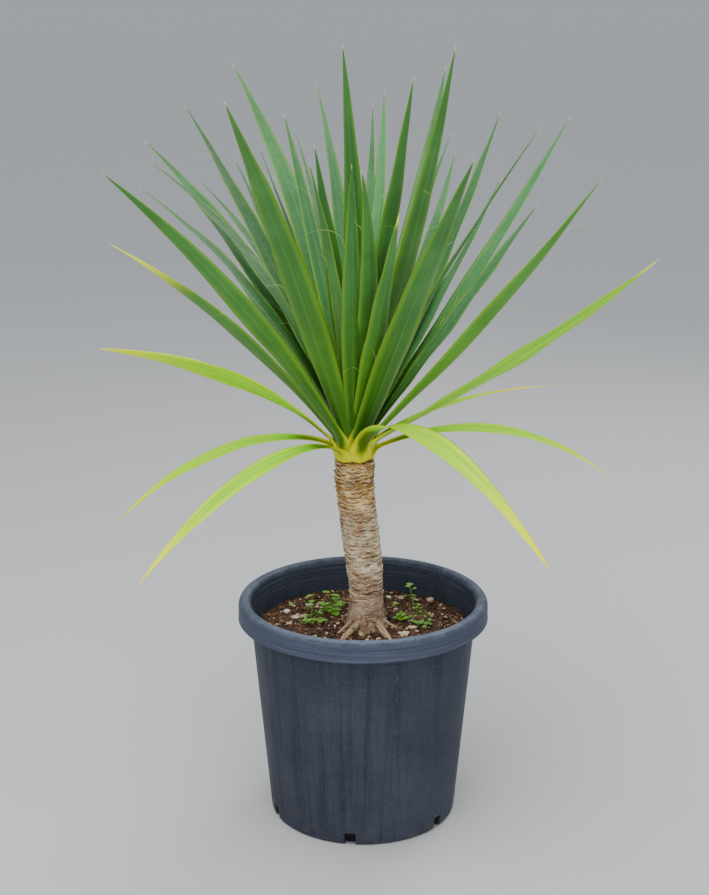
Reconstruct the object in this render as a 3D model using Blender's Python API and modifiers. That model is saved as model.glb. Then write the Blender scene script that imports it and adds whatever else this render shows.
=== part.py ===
"""A dragon tree in a nursery pot, modelled as solids at real size.

Metres, +Z up. The origin is the centre of the pot's flat underside, so the pot stands
on Z = 0 and its own axis is the Z axis. -Y is the front, +X the right-hand side.
Bearings ("turn") are degrees seen from above: 0 points to the front, 90 to the right.
"""

import math
import random
from collections import namedtuple

import bmesh
import bpy
from mathutils import Matrix, Vector, noise

# Driving dimensions
GAP = 0.0003                # clearance kept between touching pieces

POT_HEIGHT = 0.450
POT_FOOT_RADIUS = 0.186     # outside of the wall at the floor
POT_WALL_SLOPE = 0.0912     # outward growth of the radius per metre of height
POT_WALL = 0.004
POT_FLOOR = 0.006
RIM_RADIUS = 0.2475         # outside of the turned-down skirt
RIM_SKIRT_BOTTOM = 0.409
POT_SEGMENTS = 48
NOTCH_COUNT = 6
NOTCH_WIDTH = 0.022
NOTCH_HEIGHT = 0.026
NOTCH_FIRST_TURN = -8.0

SOIL_LEVEL = 0.383          # at the pot wall
SOIL_MOUND = 0.007          # rise around the trunk
SOIL_RINGS = 8
SOIL_BIT_COUNT = 26

TRUNK_TOP = 0.732
TRUNK_BOTTOM = 0.300        # inside its hole in the soil
TRUNK_FOOT_X = 0.006        # the stem leans: foot right of centre, top left of it
TRUNK_TOP_X = -0.0175
TRUNK_LEAN_START = 0.45
TRUNK_LEAN_END = 0.72
TRUNK_SEGMENTS = 18
FLARE_BOTTOM = 0.385        # the foot is widest here, just under the soil surface
TRUNK_NECK_RADIUS = 0.030   # below the flare, in the soil
TRUNK_BOTTOM_RADIUS = 0.026
HOLE_CLEARANCE = 0.0004
SCAR_PITCH = 0.014          # height of one leaf-scar ring
SCAR_DEPTH = 0.0012
SCAR_START = 0.424

CROWN_X = TRUNK_TOP_X
CORE_HEIGHT = 0.130         # growing stem that the leaves clasp
CORE_RADIUS = 0.037
CORE_TIP_RADIUS = 0.010
CORE_SEGMENTS = 30
BLADE_THICKNESS = 0.0016
BLADE_SEGMENTS = 8
BLADE_FOLD = 18.0           # how far each half of a blade is raised from flat
LEAF_CURL = 1.3             # arching grows towards the tip
YOUNG_LEAF_COUNT = 9
GOLDEN_ANGLE = 137.5
SEAT_SINK = 0.006           # how far an old leaf starts inside the stem before it is cut

STALK_RADIUS = 0.0014       # a weed's foot, in its hole in the soil
STALK_DEPTH = 0.015
WEED_LEAF_THICKNESS = 0.0010

# One leaf: turn and rise of its foot in degrees, length, droop (degrees of arching),
# sweep (degrees of sideways bend), width, roll about its own length, height of its foot
# above the trunk top.
Leaf = namedtuple("Leaf", "turn rise length droop sweep width roll foot")

FRONT_LEAVES = (
    Leaf(-50, 55, 0.744, 15, -12, 0.043, -53, 0.033),
    Leaf(-72, 53, 0.600, 22, -9, 0.051, -32, 0.029),
    Leaf(-28, 61, 0.800, 9, 2, 0.064, -5, 0.043),
    Leaf(2, 70, 0.790, 12, -10, 0.046, 25, 0.088),
    Leaf(-1, 57, 0.720, 10, 1, 0.042, -25, 0.048),
    Leaf(11, 56, 0.695, 11, -19, 0.040, -25, 0.068),
    Leaf(-8, 59, 0.680, 12, -4, 0.036, 35, 0.070),
    Leaf(28, 60, 0.835, -3, -11, 0.046, -10, 0.068),
    Leaf(18, 65, 0.765, 6, -6, 0.046, -20, 0.072),
    Leaf(22, 52, 0.785, 6, -3, 0.062, -5, 0.038),
    Leaf(12, 53, 0.640, 8, -5, 0.042, -20, 0.053),
    Leaf(58, 46, 0.701, -9, 18, 0.037, 41, 0.033),
    Leaf(75, 31, 0.676, -11, -10, 0.052, 33, 0.030),
)

BACK_LEAVES = (
    Leaf(-97, 63, 0.614, 27, 12, 0.052, 12, 0.051),
    Leaf(-108, 68, 0.663, 39, -7, 0.054, -4, 0.051),
    Leaf(-122, 60, 0.699, 19, 15, 0.056, 18, 0.049),
    Leaf(-131, 59, 0.704, 2, 20, 0.053, 9, 0.065),
    Leaf(-152, 46, 0.725, 20, 13, 0.040, -15, 0.048),
    Leaf(-164, 55, 0.840, 7, 26, 0.060, 0, 0.068),
    Leaf(-152, 46, 0.720, 9, -1, 0.038, -20, 0.046),
    Leaf(-169, 54, 0.720, 14, 8, 0.036, -40, 0.063),
    Leaf(-177, 59, 0.770, 14, 13, 0.044, -25, 0.073),
    Leaf(151, 55, 0.815, 2, 13, 0.050, 15, 0.063),
    Leaf(167, 56, 0.765, 8, 11, 0.042, 30, 0.065),
    Leaf(172, 54, 0.760, 9, 7, 0.036, 35, 0.061),
    Leaf(133, 52, 0.697, -12, -1, 0.050, 10, 0.060),
    Leaf(152, 43, 0.745, 4, 12, 0.040, 20, 0.046),
    Leaf(123, 53, 0.571, -7, -2, 0.047, 13, 0.050),
    Leaf(110, 52, 0.739, -5, 6, 0.047, -8, 0.044),
    Leaf(97, 54, 0.562, 5, 20, 0.052, -5, 0.040),
    Leaf(160, 26, 0.700, 10, -1, 0.040, 20, 0.026),
    Leaf(-170, 34, 0.730, 12, 4, 0.044, 0, 0.036),
    Leaf(-154, 27, 0.690, 16, -3, 0.044, 0, 0.028),
    Leaf(179, 40, 0.745, 8, -4, 0.044, 0, 0.043),
)

# The old leaves arch over quickly, so each also has its own curl.
OLD_LEAVES = (
    (Leaf(-90, 56, 0.519, 49, 6, 0.044, -59, 0.017), 0.55),
    (Leaf(-110, 60, 0.560, 106, 4, 0.030, 42, 0.013), 0.30),
    (Leaf(-39, 62, 0.563, 106, -15, 0.040, 16, 0.012), 0.38),
    (Leaf(20, 75, 0.700, 115, 20, 0.060, 1, 0.012), 0.47),
    (Leaf(111, 20, 0.568, 62, -6, 0.026, -35, 0.012), 0.97),
    (Leaf(125, 32, 0.500, 39, 0, 0.022, 0, 0.020), 0.52),
)

# One surface root: bearing, reach from the trunk axis, radius at the trunk.
Root = namedtuple("Root", "turn reach radius")
ROOTS = (
    Root(-31, 0.114, 0.0078),
    Root(-52, 0.098, 0.0038),
    Root(32, 0.120, 0.0075),
    Root(80, 0.082, 0.0036),
    Root(2, 0.056, 0.0026),
    Root(150, 0.085, 0.0065),
    Root(-140, 0.080, 0.0060),
)

# One weed: name, place of its stalk (x, y), then its stems as (turn, reach out, rise
# above the soil, radius of the round leaf).
Weed = namedtuple("Weed", "name place stems")
WEEDS = (
    Weed("weed_clump", (-0.062, 0.066), (
        (-20, 0.012, 0.012, 0.0085), (-75, 0.020, 0.022, 0.0080), (160, 0.016, 0.034, 0.0075),
        (60, 0.018, 0.024, 0.0080), (-130, 0.026, 0.014, 0.0070), (15, 0.026, 0.006, 0.0085),
    )),
    Weed("weed_sprig", (-0.096, 0.008), (
        (-95, 0.020, 0.005, 0.0065), (80, 0.018, 0.007, 0.0065), (-60, 0.010, 0.010, 0.0055),
    )),
    Weed("weed_stalk", (0.107, 0.085), (
        (-150, 0.022, 0.050, 0.0075), (100, 0.008, 0.014, 0.0045),
    )),
    Weed("weed_tuft", (0.078, 0.018), (
        (-60, 0.008, 0.006, 0.0070), (70, 0.010, 0.008, 0.0070), (170, 0.009, 0.011, 0.0060),
    )),
    Weed("weed_seedling", (0.112, 0.000), (
        (-90, 0.009, 0.007, 0.0060), (75, 0.018, 0.006, 0.0060), (10, 0.010, 0.010, 0.0050),
    )),
)

COLOURS = {
    "pot": ((0.045, 0.055, 0.072), 0.55),
    "soil": ((0.050, 0.030, 0.020), 0.95),
    "trunk": ((0.300, 0.235, 0.150), 0.85),
    "green leaf": ((0.085, 0.230, 0.045), 0.45),
    "yellowing leaf": ((0.480, 0.620, 0.070), 0.50),
    "weed": ((0.130, 0.360, 0.040), 0.50),
}


def clear_scene():
    """Remove every object that the file starts with."""
    for obj in list(bpy.data.objects):
        bpy.data.objects.remove(obj)


def make_collection(name):
    collection = bpy.data.collections.new(name)
    bpy.context.scene.collection.children.link(collection)
    return collection


def make_material(name):
    colour, roughness = COLOURS[name]
    material = bpy.data.materials.new(name)
    material.use_nodes = True
    shader = material.node_tree.nodes["Principled BSDF"]
    shader.inputs["Base Color"].default_value = (*colour, 1.0)
    shader.inputs["Roughness"].default_value = roughness
    shader.inputs["Metallic"].default_value = 0.0
    return material


def add_object(name, mesh, collection):
    obj = bpy.data.objects.new(name, mesh)
    collection.objects.link(obj)
    return obj


def finish(obj, material, angle=40.0):
    """Give the piece its one material and smooth shading with sharp edges."""
    obj.data.materials.clear()
    obj.data.materials.append(material)
    obj.data.shade_smooth()
    obj.data.set_sharp_from_angle(angle=math.radians(angle))


def mesh_from(bm, name):
    """Turn a bmesh into a mesh and free it."""
    mesh = bpy.data.meshes.new(name)
    bm.to_mesh(mesh)
    bm.free()
    return mesh


def apply_modifiers(obj):
    """Replace the object's mesh by its evaluated one."""
    graph = bpy.context.evaluated_depsgraph_get()
    mesh = bpy.data.meshes.new_from_object(obj.evaluated_get(graph))
    obj.modifiers.clear()
    obj.data = mesh
    return obj


def remove_collection(collection):
    for obj in list(collection.objects):
        bpy.data.objects.remove(obj)
    bpy.data.collections.remove(collection)


def boolean_with(obj, collection, operation, solver="EXACT"):
    """Cut or join the object with all of a collection, then drop the collection."""
    modifier = obj.modifiers.new(operation.title(), "BOOLEAN")
    modifier.operation = operation
    modifier.operand_type = "COLLECTION"
    modifier.collection = collection
    modifier.solver = solver
    apply_modifiers(obj)
    remove_collection(collection)


def keep_outer_shell(obj):
    """Fill the small hollows that fusing seals: keep only the shell with the most faces."""
    bm = bmesh.new()
    bm.from_mesh(obj.data)
    unseen = set(bm.verts)
    shells = []
    while unseen:
        shell = {unseen.pop()}
        edge = list(shell)
        while edge:
            vert = edge.pop()
            for link in vert.link_edges:
                other = link.other_vert(vert)
                if other in unseen:
                    unseen.discard(other)
                    shell.add(other)
                    edge.append(other)
        shells.append(shell)
    shells.sort(key=len)
    for shell in shells[:-1]:
        bmesh.ops.delete(bm, geom=list(shell), context="VERTS")
    bm.to_mesh(obj.data)
    bm.free()


def direction(turn, rise):
    """Unit vector for a bearing and a rise, both in degrees."""
    turn, rise = math.radians(turn), math.radians(rise)
    return Vector((
        math.cos(rise) * math.sin(turn),
        -math.cos(rise) * math.cos(turn),
        math.sin(rise),
    ))


def turned_piece(name, profile, collection, segments):
    """A closed turned solid from (radius, height) points that start and end on the axis."""
    bm = bmesh.new()
    verts = [bm.verts.new((radius, 0.0, height)) for radius, height in profile]
    for first, second in zip(verts, verts[1:]):
        bm.edges.new((first, second))
    obj = add_object(name, mesh_from(bm, name), collection)
    screw = obj.modifiers.new("Turn", "SCREW")
    screw.steps = segments
    screw.render_steps = segments
    screw.use_merge_vertices = True
    screw.merge_threshold = 0.00005
    return apply_modifiers(obj)


def tube(name, points, radii, collection, resolution=1):
    """A tapered tube along the points, as a closed mesh object."""
    curve = bpy.data.curves.new(name, "CURVE")
    curve.dimensions = "3D"
    curve.bevel_depth = 1.0
    curve.bevel_resolution = resolution
    curve.use_fill_caps = True
    spline = curve.splines.new("POLY")
    spline.points.add(len(points) - 1)
    for slot, point, radius in zip(spline.points, points, radii):
        slot.co = (*point, 1.0)
        slot.radius = radius
    source = add_object(name + " curve", curve, collection)
    graph = bpy.context.evaluated_depsgraph_get()
    mesh = bpy.data.meshes.new_from_object(source.evaluated_get(graph))
    bm = bmesh.new()
    bm.from_mesh(mesh)
    bmesh.ops.remove_doubles(bm, verts=bm.verts, dist=0.00002)
    bmesh.ops.recalc_face_normals(bm, faces=bm.faces)
    bm.to_mesh(mesh)
    bm.free()
    obj = add_object(name, mesh, collection)
    obj.matrix_world = source.matrix_world
    bpy.data.objects.remove(source)
    return obj


def wall_radius(height):
    """Outside radius of the pot wall at a height."""
    return POT_FOOT_RADIUS + POT_WALL_SLOPE * height


def arc(centre, radius, start, end, steps):
    """Points of an arc in the (radius, height) plane, angles in degrees."""
    points = []
    for step in range(steps + 1):
        angle = math.radians(start + (end - start) * step / steps)
        points.append((
            centre[0] + radius[0] * math.cos(angle),
            centre[1] + radius[1] * math.sin(angle),
        ))
    return points


def pot_profile():
    """Inside of the floor and wall, over the rim, down the skirt, then the outside."""
    inner_top = wall_radius(0.436) - POT_WALL
    rim_centre = (0.5 * (inner_top + RIM_RADIUS), 0.436)
    rim_half = 0.5 * (RIM_RADIUS - inner_top)
    rim_rise = POT_HEIGHT - rim_centre[1]
    skirt_inner = RIM_RADIUS - POT_WALL
    foot_round = 0.006
    profile = [(0.0, POT_FLOOR), (wall_radius(POT_FLOOR) - POT_WALL, POT_FLOOR)]
    profile += arc(rim_centre, (rim_half, rim_rise), 180, 0, 6)
    profile += [
        (RIM_RADIUS, RIM_SKIRT_BOTTOM + 0.004),
        (RIM_RADIUS + 0.0008, RIM_SKIRT_BOTTOM),
        (skirt_inner, RIM_SKIRT_BOTTOM),
        (skirt_inner, 0.434),
        (wall_radius(0.438), 0.438),
        (wall_radius(0.406), 0.406),
    ]
    profile += arc((POT_FOOT_RADIUS - foot_round, foot_round), (foot_round, foot_round), 0, -90, 3)
    profile.append((0.0, 0.0))
    return profile


def build_pot(collection):
    pot = turned_piece("pot", pot_profile(), collection, POT_SEGMENTS)
    cutters = make_collection("notch cutters")
    for index in range(NOTCH_COUNT):
        turn = NOTCH_FIRST_TURN + index * 360.0 / NOTCH_COUNT
        bm = bmesh.new()
        bmesh.ops.create_cube(bm, size=1.0)
        bmesh.ops.scale(bm, vec=(0.030, NOTCH_WIDTH, NOTCH_HEIGHT + 0.010), verts=bm.verts)
        cutter = add_object(f"notch {index + 1}", mesh_from(bm, "notch"), cutters)
        centre = direction(turn, 0.0) * (POT_FOOT_RADIUS - 0.001)
        centre.z = 0.5 * (NOTCH_HEIGHT - 0.010)
        cutter.location = centre
        cutter.rotation_euler = (0.0, 0.0, math.atan2(centre.y, centre.x))
        cutter.hide_render = True
        cutter.display_type = "WIRE"
    boolean_with(pot, cutters, "DIFFERENCE")
    finish(pot, make_material("pot"))


def trunk_centre(height):
    """X of the stem axis: straight at the foot, leaning left towards the top."""
    share = (height - TRUNK_LEAN_START) / (TRUNK_LEAN_END - TRUNK_LEAN_START)
    share = min(max(share, 0.0), 1.0)
    smooth = share * share * (3.0 - 2.0 * share)
    return TRUNK_FOOT_X + (TRUNK_TOP_X - TRUNK_FOOT_X) * smooth


def soil_height(x, y):
    """Height of the potting mix at a place, mounded at the trunk and gently uneven."""
    away = math.hypot(x - TRUNK_FOOT_X, y)
    mound = SOIL_MOUND * math.exp(-((away / 0.11) ** 2))
    rough = 0.0032 * noise.noise(Vector((x * 24.0, y * 24.0, 0.4)))
    return SOIL_LEVEL + mound + rough


def trunk_radius(height):
    """Smooth radius of the stem: flared foot, waist, and a slightly thicker top."""
    flare = 0.012 * math.exp(-max(height - FLARE_BOTTOM, 0.0) / 0.018)
    swell = 0.0015 * math.sin((height - 0.50) / 0.13 * math.pi)
    growth = 0.0045 * max(height - 0.45, 0.0) / (TRUNK_TOP - 0.45)
    return 0.0335 + flare + growth + swell * (1.0 if 0.50 < height < 0.63 else 0.0)


def trunk_profile():
    """Foot in the soil, then saw-tooth leaf-scar rings up to the flat top."""
    profile = [(0.0, TRUNK_TOP), (trunk_radius(TRUNK_TOP) - 0.001, TRUNK_TOP)]
    rings = round((TRUNK_TOP - SCAR_START) / SCAR_PITCH)
    for index in range(rings):
        upper = TRUNK_TOP - index * SCAR_PITCH - 0.001
        lower = upper - SCAR_PITCH + 0.003
        profile.append((trunk_radius(upper), upper))
        profile.append((trunk_radius(lower) - SCAR_DEPTH, lower))
    for height in (0.415, 0.405, 0.397, 0.390, FLARE_BOTTOM - 0.005):
        profile.append((trunk_radius(height), height))
    profile += [
        (TRUNK_NECK_RADIUS, 0.360),
        (TRUNK_BOTTOM_RADIUS, TRUNK_BOTTOM),
        (0.0, TRUNK_BOTTOM),
    ]
    return profile


def lean(obj, waviness):
    """Shift each level of a turned stem to its place on the leaning axis."""
    for vert in obj.data.vertices:
        x, y, z = vert.co
        angle = math.atan2(y, x)
        wave = waviness * math.sin(2.0 * angle + z * 45.0)
        if TRUNK_BOTTOM + 0.1 < z < TRUNK_TOP - 0.004:
            z += wave
        vert.co = (x + trunk_centre(z), y, z)


def root_path(root):
    """Points of a surface root: out of the stem, down to the soil, and into it."""
    points = []
    for share in (0.0, 0.2, 0.4, 0.6, 0.8, 1.0):
        reach = 0.018 + (root.reach - 0.018) * share
        spot = direction(root.turn, 0.0) * reach
        spot.x += TRUNK_FOOT_X
        drop = 0.024 * (1.0 - share) ** 2 - 0.014 * share ** 3
        points.append((spot.x, spot.y, soil_height(spot.x, spot.y) + drop))
    return points


def add_roots(collection, grow):
    """The roots as tubes, or a little fatter and longer to cut their room in the soil."""
    for index, root in enumerate(ROOTS):
        points = [Vector(point) for point in root_path(root)]
        points[-1] += (points[-1] - points[-2]).normalized() * grow * 1.5
        count = len(points) - 1
        radii = [root.radius * (1.0 - 0.35 * i / count) + grow for i in range(count + 1)]
        tube(f"root {index + 1}", points, radii, collection)


def build_trunk(collection):
    trunk = turned_piece("trunk", trunk_profile(), collection, TRUNK_SEGMENTS)
    lean(trunk, 0.0016)
    roots = make_collection("roots")
    add_roots(roots, 0.0)
    boolean_with(trunk, roots, "UNION")
    finish(trunk, make_material("trunk"), 30.0)


def soil_profile():
    """Flat top rings at the wall level, the tapered side, and the floor side."""
    bottom = POT_FLOOR + GAP
    edge = wall_radius(SOIL_LEVEL) - POT_WALL - GAP - 0.0004
    profile = [(edge * ring / SOIL_RINGS, SOIL_LEVEL) for ring in range(SOIL_RINGS + 1)]
    profile += [(wall_radius(bottom) - POT_WALL - GAP - 0.0004, bottom), (0.0, bottom)]
    return profile


def add_soil_bits(collection, places_taken):
    """Bark and stone bits: small rough blocks sunk into the surface, by seeded draw."""
    draw = random.Random(11)
    placed = 0
    while placed < SOIL_BIT_COUNT:
        turn = draw.uniform(-180.0, 180.0)
        spot = direction(turn, 0.0) * (0.195 * math.sqrt(draw.random()))
        size = draw.uniform(0.009, 0.017)
        if any((spot - place).length < reach + size for place, reach in places_taken):
            continue
        places_taken.append((spot, size * 0.7))
        bm = bmesh.new()
        bmesh.ops.create_cube(bm, size=0.8)
        bmesh.ops.scale(bm, vec=(size, size * draw.uniform(0.5, 0.8), size * 0.55), verts=bm.verts)
        for vert in bm.verts:
            vert.co *= 1.0 + draw.uniform(-0.25, 0.25)
        bit = add_object(f"bit {placed + 1}", mesh_from(bm, "bit"), collection)
        bit.location = (spot.x, spot.y, soil_height(spot.x, spot.y) + 0.001)
        bit.rotation_euler = (draw.uniform(-0.3, 0.3), draw.uniform(-0.3, 0.3), draw.uniform(0, 6.28))
        placed += 1


def build_soil(collection, stalk_places):
    soil = turned_piece("soil", soil_profile(), collection, POT_SEGMENTS)
    edge = wall_radius(SOIL_LEVEL) - POT_WALL
    for vert in soil.data.vertices:
        away = math.hypot(vert.co.x, vert.co.y)
        if vert.co.z > 0.3 and away < edge - 0.004:
            vert.co.z = soil_height(vert.co.x, vert.co.y)
    foot = Vector((TRUNK_FOOT_X, 0.0, 0.0))
    taken = [(foot, 0.062)]
    for root in ROOTS:
        for reach in (0.05, 0.065, 0.08, 0.095, 0.11):
            taken.append((foot + direction(root.turn, 0.0) * min(reach, root.reach), 0.012))
    for place in stalk_places:
        taken.append((Vector((place[0], place[1], 0.0)), 0.008))
    bits = make_collection("bits")
    add_soil_bits(bits, taken)
    boolean_with(soil, bits, "UNION")
    holes = make_collection("holes")
    flare = trunk_radius(FLARE_BOTTOM) + 2.0 * HOLE_CLEARANCE
    hole_profile = [
        (0.0, 0.480),
        (0.050, 0.480),
        (flare + 0.001, 0.3965),
        (flare, 0.372),
        (TRUNK_NECK_RADIUS + 0.002, 0.355),
        (TRUNK_BOTTOM_RADIUS + 0.0015, TRUNK_BOTTOM - GAP),
        (0.0, TRUNK_BOTTOM - GAP),
    ]
    hole = turned_piece("trunk hole", hole_profile, holes, TRUNK_SEGMENTS)
    hole.location.x = TRUNK_FOOT_X
    add_roots(holes, 1.5 * HOLE_CLEARANCE)
    for index, place in enumerate(stalk_places):
        level = soil_height(*place)
        stalk_hole = [(*place, level - STALK_DEPTH - GAP), (*place, level + 0.02)]
        tube(f"stalk hole {index + 1}", stalk_hole, [STALK_RADIUS + HOLE_CLEARANCE] * 2, holes)
    boolean_with(soil, holes, "DIFFERENCE")
    finish(soil, make_material("soil"))


def core_radius(height):
    """Radius of the growing stem at a height above the trunk top."""
    share = min(max(height / CORE_HEIGHT, 0.0), 1.0)
    return CORE_RADIUS + (CORE_TIP_RADIUS - CORE_RADIUS) * share ** 1.4


def half_width(share, width):
    """Half the blade's width: clasping foot, slight neck, broad middle, long fine tip."""
    if share < 0.42:
        swell = math.sin(share / 0.42 * math.pi / 2.0)
        clasp = 0.12 * math.exp(-share / 0.03)
        fraction = 0.58 + clasp + (0.42 - clasp) * swell
    else:
        fraction = 1.0 - ((share - 0.42) / 0.58) ** 1.55
    return max(0.5 * width * fraction, 0.0009)


def blade_stations(leaf, curl, start, count):
    """Share, centre, across vector and upper-face normal at count + 1 places along a blade."""
    stations = []
    point = start.copy()
    for index in range(count + 1):
        share = index / count
        if index:
            middle = (index - 0.5) / count
            bend = leaf.droop * middle ** curl
            step = direction(leaf.turn + leaf.sweep * middle, leaf.rise - bend)
            point = point + step * (leaf.length / count)
        turn = leaf.turn + leaf.sweep * share
        along = direction(turn, leaf.rise - leaf.droop * share ** curl)
        across = Vector((math.cos(math.radians(turn)), math.sin(math.radians(turn)), 0.0))
        roll = Matrix.Rotation(math.radians(-leaf.roll * min(share * 2.0, 1.0)), 3, along)
        across = roll @ across
        stations.append((share, point.copy(), across, along.cross(across)))
    return stations


def add_blade(name, leaf, curl, start, collection):
    """A folded strap leaf: a flat grid shaped along its arched midrib, made solid."""
    bm = bmesh.new()
    bmesh.ops.create_grid(bm, x_segments=2, y_segments=BLADE_SEGMENTS, size=0.5)
    stations = blade_stations(leaf, curl, start, BLADE_SEGMENTS)
    fold = math.radians(BLADE_FOLD)
    for vert in bm.verts:
        side = round(vert.co.x * 2.0)
        share, centre, across, normal = stations[round((vert.co.y + 0.5) * BLADE_SEGMENTS)]
        reach = half_width(share, leaf.width)
        lift = normal * (abs(side) * reach * math.sin(fold))
        vert.co = centre + across * (side * reach * math.cos(fold)) + lift
    bmesh.ops.triangulate(bm, faces=bm.faces)
    blade = add_object(name, mesh_from(bm, name), collection)
    solidify = blade.modifiers.new("Thickness", "SOLIDIFY")
    solidify.thickness = BLADE_THICKNESS
    solidify.offset = 0.0
    return blade


def leaf_foot(leaf, sink):
    """Where a blade starts, sunk below the surface of the growing stem."""
    reach = core_radius(leaf.foot) - sink
    foot = direction(leaf.turn, 0.0) * reach
    return Vector((CROWN_X + foot.x, foot.y, TRUNK_TOP + leaf.foot))


def young_leaves():
    """The upright inner leaves, set round the tip by the golden angle."""
    leaves = []
    for index in range(YOUNG_LEAF_COUNT):
        share = index / (YOUNG_LEAF_COUNT - 1)
        leaves.append(Leaf(
            turn=70.0 + GOLDEN_ANGLE * index,
            rise=62.0 + 22.0 * share,
            length=0.66 - 0.26 * share,
            droop=6.0 - 4.0 * share,
            sweep=0.0,
            width=0.040 - 0.012 * share,
            roll=0.0,
            foot=0.080 + 0.036 * share,
        ))
    return leaves


def growing_stem(name, collection, grow):
    """The tapered stem inside the crown, or a slightly larger copy that seats a leaf on it."""
    profile = [(0.0, CORE_HEIGHT + TRUNK_TOP + grow)]
    for step in range(6):
        height = CORE_HEIGHT * (1.0 - step / 6.0) - 0.002
        profile.append((core_radius(height) + grow, TRUNK_TOP + height))
    profile.append((core_radius(0.0) + grow, TRUNK_TOP + GAP - grow))
    profile.append((0.0, TRUNK_TOP + GAP - grow))
    stem = turned_piece(name, profile, collection, CORE_SEGMENTS)
    stem.data.transform(Matrix.Translation((CROWN_X, 0.0, 0.0)))
    return stem


def build_crown(collection):
    """The green head: the growing stem and its fused blades."""
    crown = growing_stem("leaf_crown", collection, 0.0)
    blades = make_collection("blades")
    for index, leaf in enumerate(FRONT_LEAVES + BACK_LEAVES + tuple(young_leaves())):
        add_blade(f"blade {index + 1}", leaf, LEAF_CURL, leaf_foot(leaf, 0.008), blades)
    boolean_with(crown, blades, "UNION", "MANIFOLD")
    keep_outer_shell(crown)
    finish(crown, make_material("green leaf"))


def build_old_leaves(collection):
    """The pale drooping leaves, each cut to seat on the foot of the growing stem."""
    material = make_material("yellowing leaf")
    for index, (leaf, curl) in enumerate(OLD_LEAVES):
        start = leaf_foot(leaf, SEAT_SINK)
        blade = add_blade(f"yellowing_leaf_{index + 1}", leaf, curl, start, collection)
        apply_modifiers(blade)
        seat = make_collection("seat")
        growing_stem("seat cutter", seat, GAP)
        boolean_with(blade, seat, "DIFFERENCE")
        finish(blade, material)


def build_weed(weed, collection, material):
    """A small weed: a short stalk in the soil with stems that each carry a round leaf."""
    x, y = weed.place
    level = soil_height(x, y)
    foot = Vector((x, y, level - STALK_DEPTH))
    knot = Vector((x, y, level + 0.004))
    body = tube(weed.name, [foot, knot], [STALK_RADIUS] * 2, collection)
    shoots = make_collection(weed.name + " shoots")
    for index, (turn, out, rise, radius) in enumerate(weed.stems):
        tip = Vector((x, y, level + rise)) + direction(turn, 0.0) * out
        tip.z = max(tip.z, soil_height(tip.x, tip.y) + 0.007)
        start = knot - Vector((0.0, 0.0, 0.002))
        tube(f"stem {index + 1}", [start, (start + tip) / 2 + Vector((0, 0, 0.002)), tip],
             [0.0010, 0.0009, 0.0008], shoots, resolution=0)
        bm = bmesh.new()
        bmesh.ops.create_cone(
            bm, cap_ends=True, segments=7, radius1=radius, radius2=radius, depth=WEED_LEAF_THICKNESS
        )
        leaf = add_object(f"leaf {index + 1}", mesh_from(bm, "leaf"), shoots)
        leaf.location = tip
        leaf.rotation_euler = (0.25 * math.cos(math.radians(turn)), 0.25 * math.sin(math.radians(turn)), 0.0)
    boolean_with(body, shoots, "UNION")
    finish(body, material)


def main():
    clear_scene()
    plant = make_collection("potted dragon tree")
    build_pot(plant)
    build_soil(plant, [weed.place for weed in WEEDS])
    build_trunk(plant)
    build_crown(plant)
    build_old_leaves(plant)
    weed_material = make_material("weed")
    for weed in WEEDS:
        build_weed(weed, plant, weed_material)


main()
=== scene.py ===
"""The dressed look of a potted dragon tree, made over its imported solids.

Metres, +Z up. The pot stands on Z = 0 and its axis is the Z axis. -Y is the front, +X the
right-hand side. Bearings ("turn") are degrees seen from above: 0 points to the front, 90 to
the right. Each piece keeps the place and form of the solid that it stands for.
"""

import math
import random
from collections import namedtuple

import bmesh
import bpy
from mathutils import Matrix, Vector, noise


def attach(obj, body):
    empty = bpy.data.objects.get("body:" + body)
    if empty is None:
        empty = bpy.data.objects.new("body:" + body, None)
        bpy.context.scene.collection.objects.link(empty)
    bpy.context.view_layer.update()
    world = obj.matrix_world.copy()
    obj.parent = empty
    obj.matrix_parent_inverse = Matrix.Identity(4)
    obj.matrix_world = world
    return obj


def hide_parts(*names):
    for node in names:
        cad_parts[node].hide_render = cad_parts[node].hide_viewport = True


# Pot
POT_HEIGHT = 0.450
POT_FOOT_RADIUS = 0.186     # outside of the wall at the floor
POT_WALL_SLOPE = 0.0912     # outward growth of the radius per metre of height
POT_WALL = 0.004
POT_FLOOR = 0.006
RIM_RADIUS = 0.2475         # outside of the turned-down skirt
RIM_SKIRT_BOTTOM = 0.409
POT_STEPS = 192             # faces round the pot
RIB_PITCH = 0.0060          # fine rings inside the wall
RIB_DEPTH = 0.0003
RIB_BOTTOM = 0.340
RIB_TOP = 0.428
RIM_CENTRE_HEIGHT = 0.436   # middle of the rim's round
RIPPLE_PITCH = 0.0092       # faint waves down the outside, in the material only
NOTCH_COUNT = 6
NOTCH_WIDTH = 0.022
NOTCH_HEIGHT = 0.026
NOTCH_OVERRUN = 0.010       # how far a notch's cutter passes below the pot
NOTCH_FIRST_TURN = -8.0
DRIP_TURN = 17.0            # bearing of a dried trickle down the wall

# Potting mix
SOIL_LEVEL = 0.383          # at the pot wall
SOIL_MOUND = 0.007          # rise around the trunk
SOIL_COLUMNS = 300
SOIL_ROWS = 110
SOIL_SIDE_ROWS = 6
SOIL_BOTTOM = POT_FLOOR + 0.0003
SOIL_GAP = 0.0007           # between the mix and the pot wall
SOIL_UNEVENNESS = 0.0032
SOIL_CRUMBS = 0.0026
SOIL_GRIT = 0.0013
CHIP_CLEARANCE = 0.043      # no loose chip lies nearer the trunk's axis

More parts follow.
